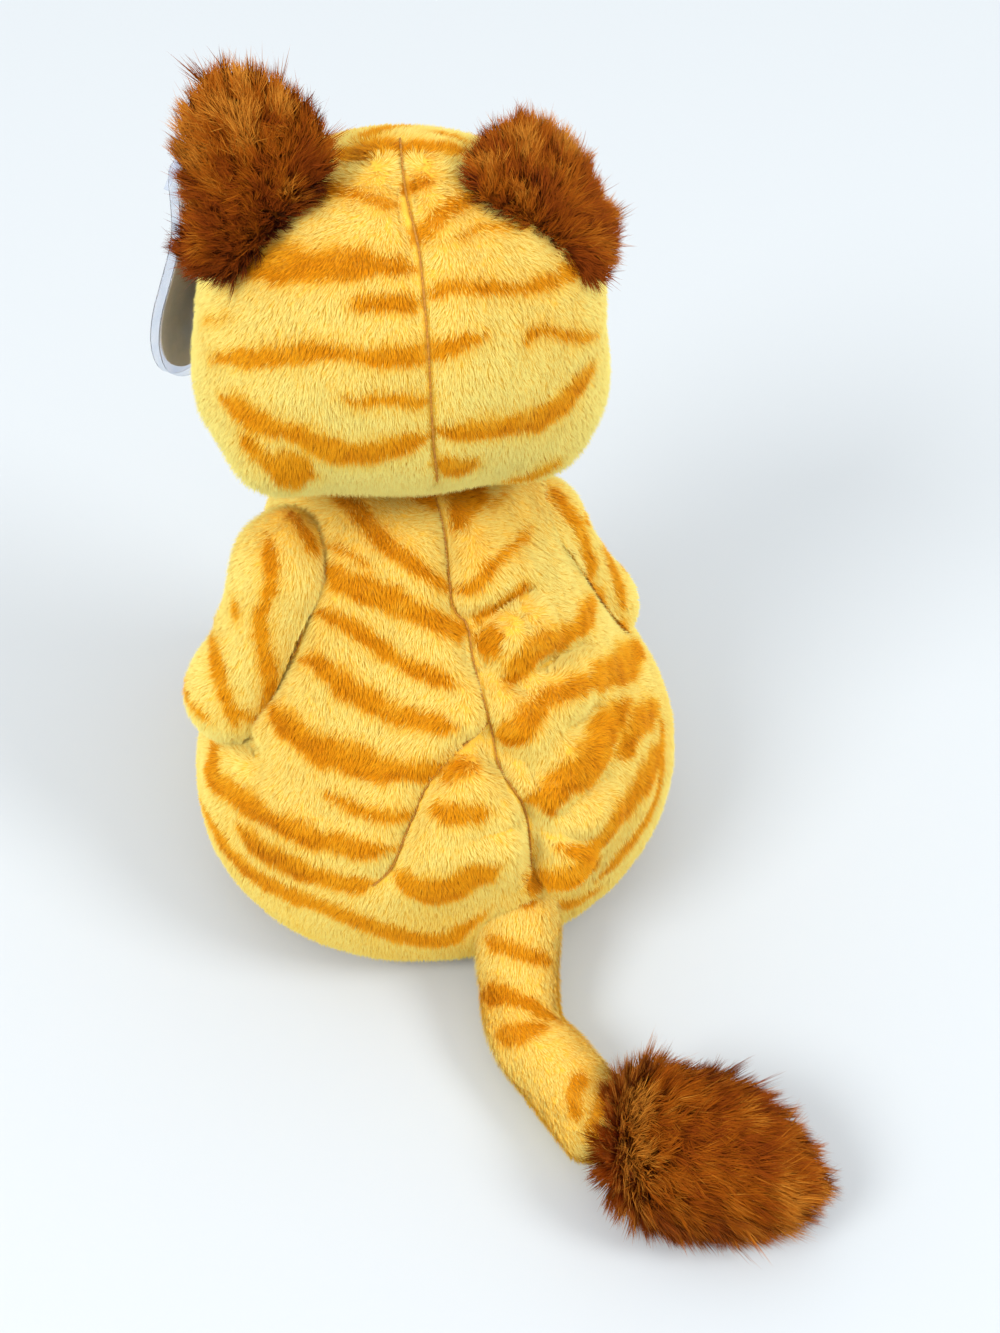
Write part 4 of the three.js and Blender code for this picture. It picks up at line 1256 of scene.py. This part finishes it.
roots, outs = scatter("tuft_skin", "tuft", 0.8)
from_root = np.clip(((roots - tuft_root) @ tuft_along) / tuft_length, 0, 1)
by_tail = np.clip(1 - from_root / near_tail_share, 0, 1)
comb = tuft_along * 0.6 + unit(roots - tuft_root) + by_tail[:, None] * [0, 0, 1.6]
comb = comb + 0.35 * ripple(roots, 9, 51)[:, None] * np.cross(outs, tuft_along)
lengths = uneven(8.5 + 1.5 * from_root, 1.15, 1.35)
from_middle = roots - tuft_centre
from_middle -= (from_middle @ tuft_facing)[:, None] * tuft_facing
rim_light_share = np.linalg.norm(from_middle, axis=1) / tuft_half_width
# Painted light: the tuft is paler at its rim, and paler by the tail where the tail's shadow falls, with
# random mottling
tones = mottled(0.2 + 0.5 * rim_light_share**2 + 0.6 * by_tail + 0.4 * ripple(roots, 6, 52))
pile = blades("tuft_pile", roots, outs, comb, tones, long_pile, lengths, 0.24, lean=(0.6, 1.1),
              lock=(26, 0.6), ruffle=0.55, **shaggy)
carried(pile, "tail_tuft")

roots, outs = scatter("muzzle_skin", "muzzle")
comb, tones = downwards(roots, outs), np.zeros(len(roots))
pile = blades("muzzle_pile", roots, outs, comb, tones, cream_pile, 1.8, 0.24)
carried(pile, "head")

# %% [markdown]
# ## Face, tag and hidden fittings
# The picture shows only the back, so the face is a plain guess: two polished eyes, a moulded nose
# and a mouth of a few stitches. The blank tag hangs in a clear protector, which is two thin dished
# shells. The fillings and fittings inside keep their CAD shape and get a finish of their own.

# %% Moulded and sewn finishes
def grained(name, tint, dark, scale, rough, bump=0.2, **finish):
    """Plastic, card, thread or wadding with a fine uneven grain in colour, gloss and height."""
    material, shader = new_material(name, **finish)
    place = add_node(material, "ShaderNodeTexCoord").outputs["Object"]
    noise = add_node(material, "ShaderNodeTexNoise", {"Vector": place, "Scale": scale, "Detail": 4})
    fleck = noise.outputs["Fac"]
    tone = ramp(material, fleck, [(0.35, dark), (0.65, tint)])
    gloss = add_node(material, "ShaderNodeMapRange", {
        "Value": fleck, "To Min": rough * 0.7, "To Max": rough * 1.3})
    rise = add_node(material, "ShaderNodeBump", {"Height": fleck, "Strength": bump, "Distance": 0.0002})
    feed(material, shader, Base_Color=tone, Roughness=gloss.outputs["Result"], Normal=rise.outputs["Normal"])
    return material


polished_black = grained("polished_black_acrylic", "#0E0A08", "#060404", 900, 0.09, 0.03, Coat_Weight=0.6)
moulded_nose = grained("moulded_brown_nose", "#4A2414", "#2E140A", 1400, 0.28, 0.15)
white_washer = grained("moulded_white_polypropylene", "#ECECE6", "#DEDED8", 700, 0.45)
wadding = grained("loose_polyester_wadding", "#F2F0EA", "#D2CFC6", 260, 1.0, 1.0)
coated_card = grained("coated_card", "#CDBFAE", "#C2B3A2", 1600, 0.4, 0.1)
brown_thread = grained("brown_embroidery_thread", "#5A2E12", "#3A1A08", 2200, 0.5, 0.4)
# Partly painted shade: the seam thread is darker than the pile, and it also stands for the shade in each
# seam's groove
seam_shade_thread = grained("golden_thread_and_seam_shade", "#CE8E1C", "#A0660A", 2200, 0.6, 0.4)
clear_film = grained(
    "clear_tag_plastic", "#F4F7FF", "#E6EDFA", 300, 0.1, 0.05, Transmission_Weight=0.92, IOR=1.12)


def woven(name, tint, dark, threads):
    """A plain weave: two sets of threads, some threads to the metre, that cross and show in turn."""
    material, shader = new_material(name, Roughness=0.9)
    place = add_node(material, "ShaderNodeTexCoord").outputs["Object"]
    warp, weft = (
        add_node(material, "ShaderNodeTexWave", {"Vector": place, "Scale": threads, "Distortion": 0.6},
                 bands_direction=way).outputs["Fac"] for way in ("X", "Z"))
    cross = add_node(material, "ShaderNodeMath", {0: warp, 1: weft}, operation="MULTIPLY").outputs["Value"]
    tone = ramp(material, cross, [(0.0, dark), (0.6, tint)])
    rise = add_node(material, "ShaderNodeBump", {"Height": cross, "Strength": 0.4, "Distance": 0.0003})
    feed(material, shader, Base_Color=tone, Normal=rise.outputs["Normal"])
    return material


pellet_cloth = woven("thin_woven_pellet_bag", "#D8D2C2", "#A8A292", 260)
kept_finishes = {
    "torso_filling": wadding, "head_filling": wadding, "pellet_bag": pellet_cloth,
    "nose_washer": white_washer, "left_eye_washer": white_washer, "right_eye_washer": white_washer,
    "tag_fastener": clear_film}
for name, finish in kept_finishes.items():
    bpy.data.objects[name].material_slots[0].material = finish
print("kept CAD nodes", len(kept_finishes))


# %% Eyes, nose, mouth and the stitches of the seams
nose_half, nose_taper = (5.0, 4.2, 3.2), 0.22
nose_back, nose_front = (world_to_head(np.array([-7.4, depth, 129.2])) for depth in (-60.6, -75.0))
eye_rise = 0.4
mouth_thread, seam_thread_radius = 0.55, 0.24
thread_lift = 0.3
# Stitch lines of the mouth, in mm across and up from the nose
mouth_lines = [
    [[-5.5, -8.2], [-3.4, -9.6], [-1.2, -8.8], [0, -6.9]],
    [[0, -7.2], [0, -4.6]],
    [[0.2, -6.9], [1.2, -8.8], [3.4, -9.6], [5.5, -8.2]]]


def dressed(piece, finish, slot, body, *nodes):
    """Gives a new hard piece its finish and its body, and hides the nodes that it stands for. The slot is
    not used.
    """
    piece.data.materials.append(finish)
    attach(piece, body)
    if nodes:
        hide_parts(*nodes)


def dome(name, spot, out, half, taper=0.0):
    """A button that is round in front: half-sizes are across, up and out of the face."""
    across = unit(np.cross([0, 0, 1], out))
    up = np.cross(out, across)

    def shape(places):
        broad = places[:, :1] * half[0] * (1 + taper * places[:, 1:2])
        tall, deep = places[:, 1:2] * half[1], places[:, 2:] * half[2]
        return head_to_world(spot + across * broad + up * tall + out * deep)
    return stuffed_skin(name, shape, around=64, rows=40)


for side, (across, up) in eye_spots.items():
    spot, out = on_head(across, up, -1)
    dressed(dome(f"{side}_eye_dome", spot + out * eye_rise, out, eye_half), polished_black,
            "black_plastic", "head", f"{side}_eye")
dressed(dome("nose_button", nose_back, unit(np.array([0, -1, 0.12])), nose_half, nose_taper), moulded_nose,
        "black_plastic", "head", "nose")
muzzle_tree = tree_of("muzzle_skin", 1.4)
into_face = Vector(head_turn @ np.array([0, 1.0, 0]))
mouth_rows = []
for line in mouth_lines:
    mouth_rows.append([])
    for across, up in even_steps(np.array(line, float), 10 if len(line) > 2 else 4):
        start = head_to_world(nose_front + np.array([across, 0, up + 2.5]))
        hit = muzzle_tree.ray_cast(Vector(start), into_face)[0]
        mouth_rows[-1].append(np.array(hit if hit else start))


def stitched(name, rows, radius):
    """Rows of stitches from spot to spot, each a rounded bead of thread."""
    bm = bmesh.new()
    for here, ahead in [pair for row in rows for pair in zip(row[:-1], row[1:])]:
        along = ahead - here
        turned_to = Vector(along).to_track_quat("X", "Z").to_matrix().to_4x4()
        stitch = bmesh.ops.create_uvsphere(bm, u_segments=12, v_segments=8, radius=1)
        stretch = Matrix.Diagonal((np.linalg.norm(along) * 0.75, radius, radius, 1))
        place = Matrix.Translation(Vector((here + ahead) / 2)) @ turned_to @ stretch
        bmesh.ops.transform(bm, verts=stitch["verts"], matrix=place)
    bmesh.ops.scale(bm, verts=bm.verts, vec=(mm, mm, mm))
    return mesh_object(name, bm)


mouth = stitched("mouth_stitches", mouth_rows, mouth_thread)
dressed(mouth, brown_thread, "brown_pile", "head")
for skin_name, body in (("torso_skin", "torso"), ("head_skin", "head")):
    tree = tree_of(skin_name)
    for number, line in enumerate(seams[skin_name]):
        spots = []
        for spot in even_steps(line, max(3, len(line) // 2)):
            near, out, _, _ = tree.find_nearest(Vector(spot))
            spots.append(np.array(near) + np.array(out) * thread_lift)
        # The stitches in each seam are partly painted shade
        seam = stitched(f"{body}_seam_stitches_{number + 1}", [spots], seam_thread_radius)
        dressed(seam, seam_shade_thread, "yellow_plush", body)
print("faces in the mouth's stitches", len(mouth.data.polygons))

# %% Tag in its clear protector
tag_hole = np.array([33.98, -48.29, 155.5])
tag_heading = math.radians(41)
tag_across = np.array([math.cos(tag_heading), math.sin(tag_heading), 0])
tag_out = np.array([math.sin(tag_heading), -math.cos(tag_heading), 0])
shell_thickness, card_thickness, card_margin, edge_radius = 0.35, 0.4, 1.8, 0.08
# Right half of the protector's drop shape, in mm across and up from the tag's hole
protector_edge = [
    (0, 3.4), (2.6, 2.4), (3.5, -1), (3.7, -7), (4.9, -13), (9.0, -19),
    (13.4, -25), (15.2, -31.5), (13.8, -38), (9.6, -42.8), (4.7, -45.2), (0, -45.6)]
# Insets of a shell and how far each rises, from its flat rim to its raised middle
dish = ((1.3, 0.0), (0.8, 0.5), (0.6, 0.08))


def leaf(name, thickness, offset, way, insets=(), shrink=0.0):
    """A drop-shaped sheet: one face, dished by insets and given its thickness, stood up at the tag's hole.

    It starts at an offset in mm out of the tag's middle plane, and its dish rises one way (1) or the
    other (-1).
    """
    right = smooth_rows(protector_edge, 30)
    rim = np.vstack([right, right[-2:0:-1] * [-1, 1]])
    heading = unit(np.roll(rim, -1, 0) - np.roll(rim, 1, 0))
    rim = rim + np.column_stack([heading[:, 1], -heading[:, 0]]) * shrink
    bm = bmesh.new()
    face = bm.faces.new([bm.verts.new((across, up, 0)) for across, up in rim])
    face.normal_update()
    if face.normal.z < 0:
        face.normal_flip()
    for inset, depth in insets:
        bmesh.ops.inset_region(bm, faces=[face], thickness=inset, depth=depth, use_even_offset=True)
    bmesh.ops.solidify(bm, geom=bm.faces[:], thickness=-thickness)
    upright = Matrix(np.column_stack([tag_across, [0, 0, 1], -tag_out]).tolist()).to_4x4()
    placed = Matrix.Scale(mm, 4) @ Matrix.Translation(Vector(tag_hole + tag_out * offset)) @ upright
    bmesh.ops.transform(bm, verts=bm.verts, matrix=placed @ Matrix.Diagonal((1, 1, way, 1)))
    bmesh.ops.recalc_face_normals(bm, faces=bm.faces)
    sheet = mesh_object(name, bm)
    sheet.data.set_sharp_from_angle(angle=math.radians(40))
    bevel = sheet.modifiers.new("rounded_edges", "BEVEL")
    bevel.width = edge_radius * mm
    bevel.segments = 2
    bevel.limit_method = "ANGLE"
    return sheet


for face, offset, way in (("back", -0.25, 1), ("front", 0.25, -1)):
    shell = leaf(f"tag_shell_{face}", shell_thickness, offset, way, dish)
    dressed(shell, clear_film, "clear_plastic", "tag", f"tag_protector_{face}")
card = leaf("blank_card", card_thickness, -0.2, -1, shrink=card_margin)
dressed(card, coated_card, "card", "tag", "tag_card")

# %% [markdown]
# ## Floor and light
# The photograph is high-key: a white floor, and two big soft lights high on either side, which leave
# a soft grey shadow to the left and the right.

# %% Floor, world and lights
bm = bmesh.new()
bmesh.ops.create_grid(bm, x_segments=1, y_segments=1, size=3)
floor = mesh_object("floor", bm)
white_paper, _ = new_material(
    "matt_white_paper", Roughness=0.95, Base_Color=colour("#D2D8DB"), Specular_IOR_Level=0.1)
floor.data.materials.append(white_paper)

world = bpy.data.worlds.new("soft_room")
world.use_nodes = True
background = world.node_tree.nodes["Background"]
background.inputs["Color"].default_value = colour("#FBFCFF")
background.inputs["Strength"].default_value = 0.88
bpy.context.scene.world = world
lit_spot = Vector((0, 0, 0.06))


def soft_light(name, place, watts, size):
    """A round soft light, with its place and its size in m, that faces the animal."""
    lamp = bpy.data.lights.new(name, "AREA")
    lamp.shape = "DISK"
    lamp.size = size
    lamp.energy = watts
    light = add_object(name, lamp)
    light.location = place
    light.rotation_euler = (lit_spot - Vector(place)).to_track_quat("-Z", "Y").to_euler()


soft_light("left_window", (1.3, 0.4, 1.3), 17, 0.8)
soft_light("right_window", (-1.2, 0.9, 1.5), 17, 0.8)
bpy.context.scene.view_settings.view_transform = "Standard"
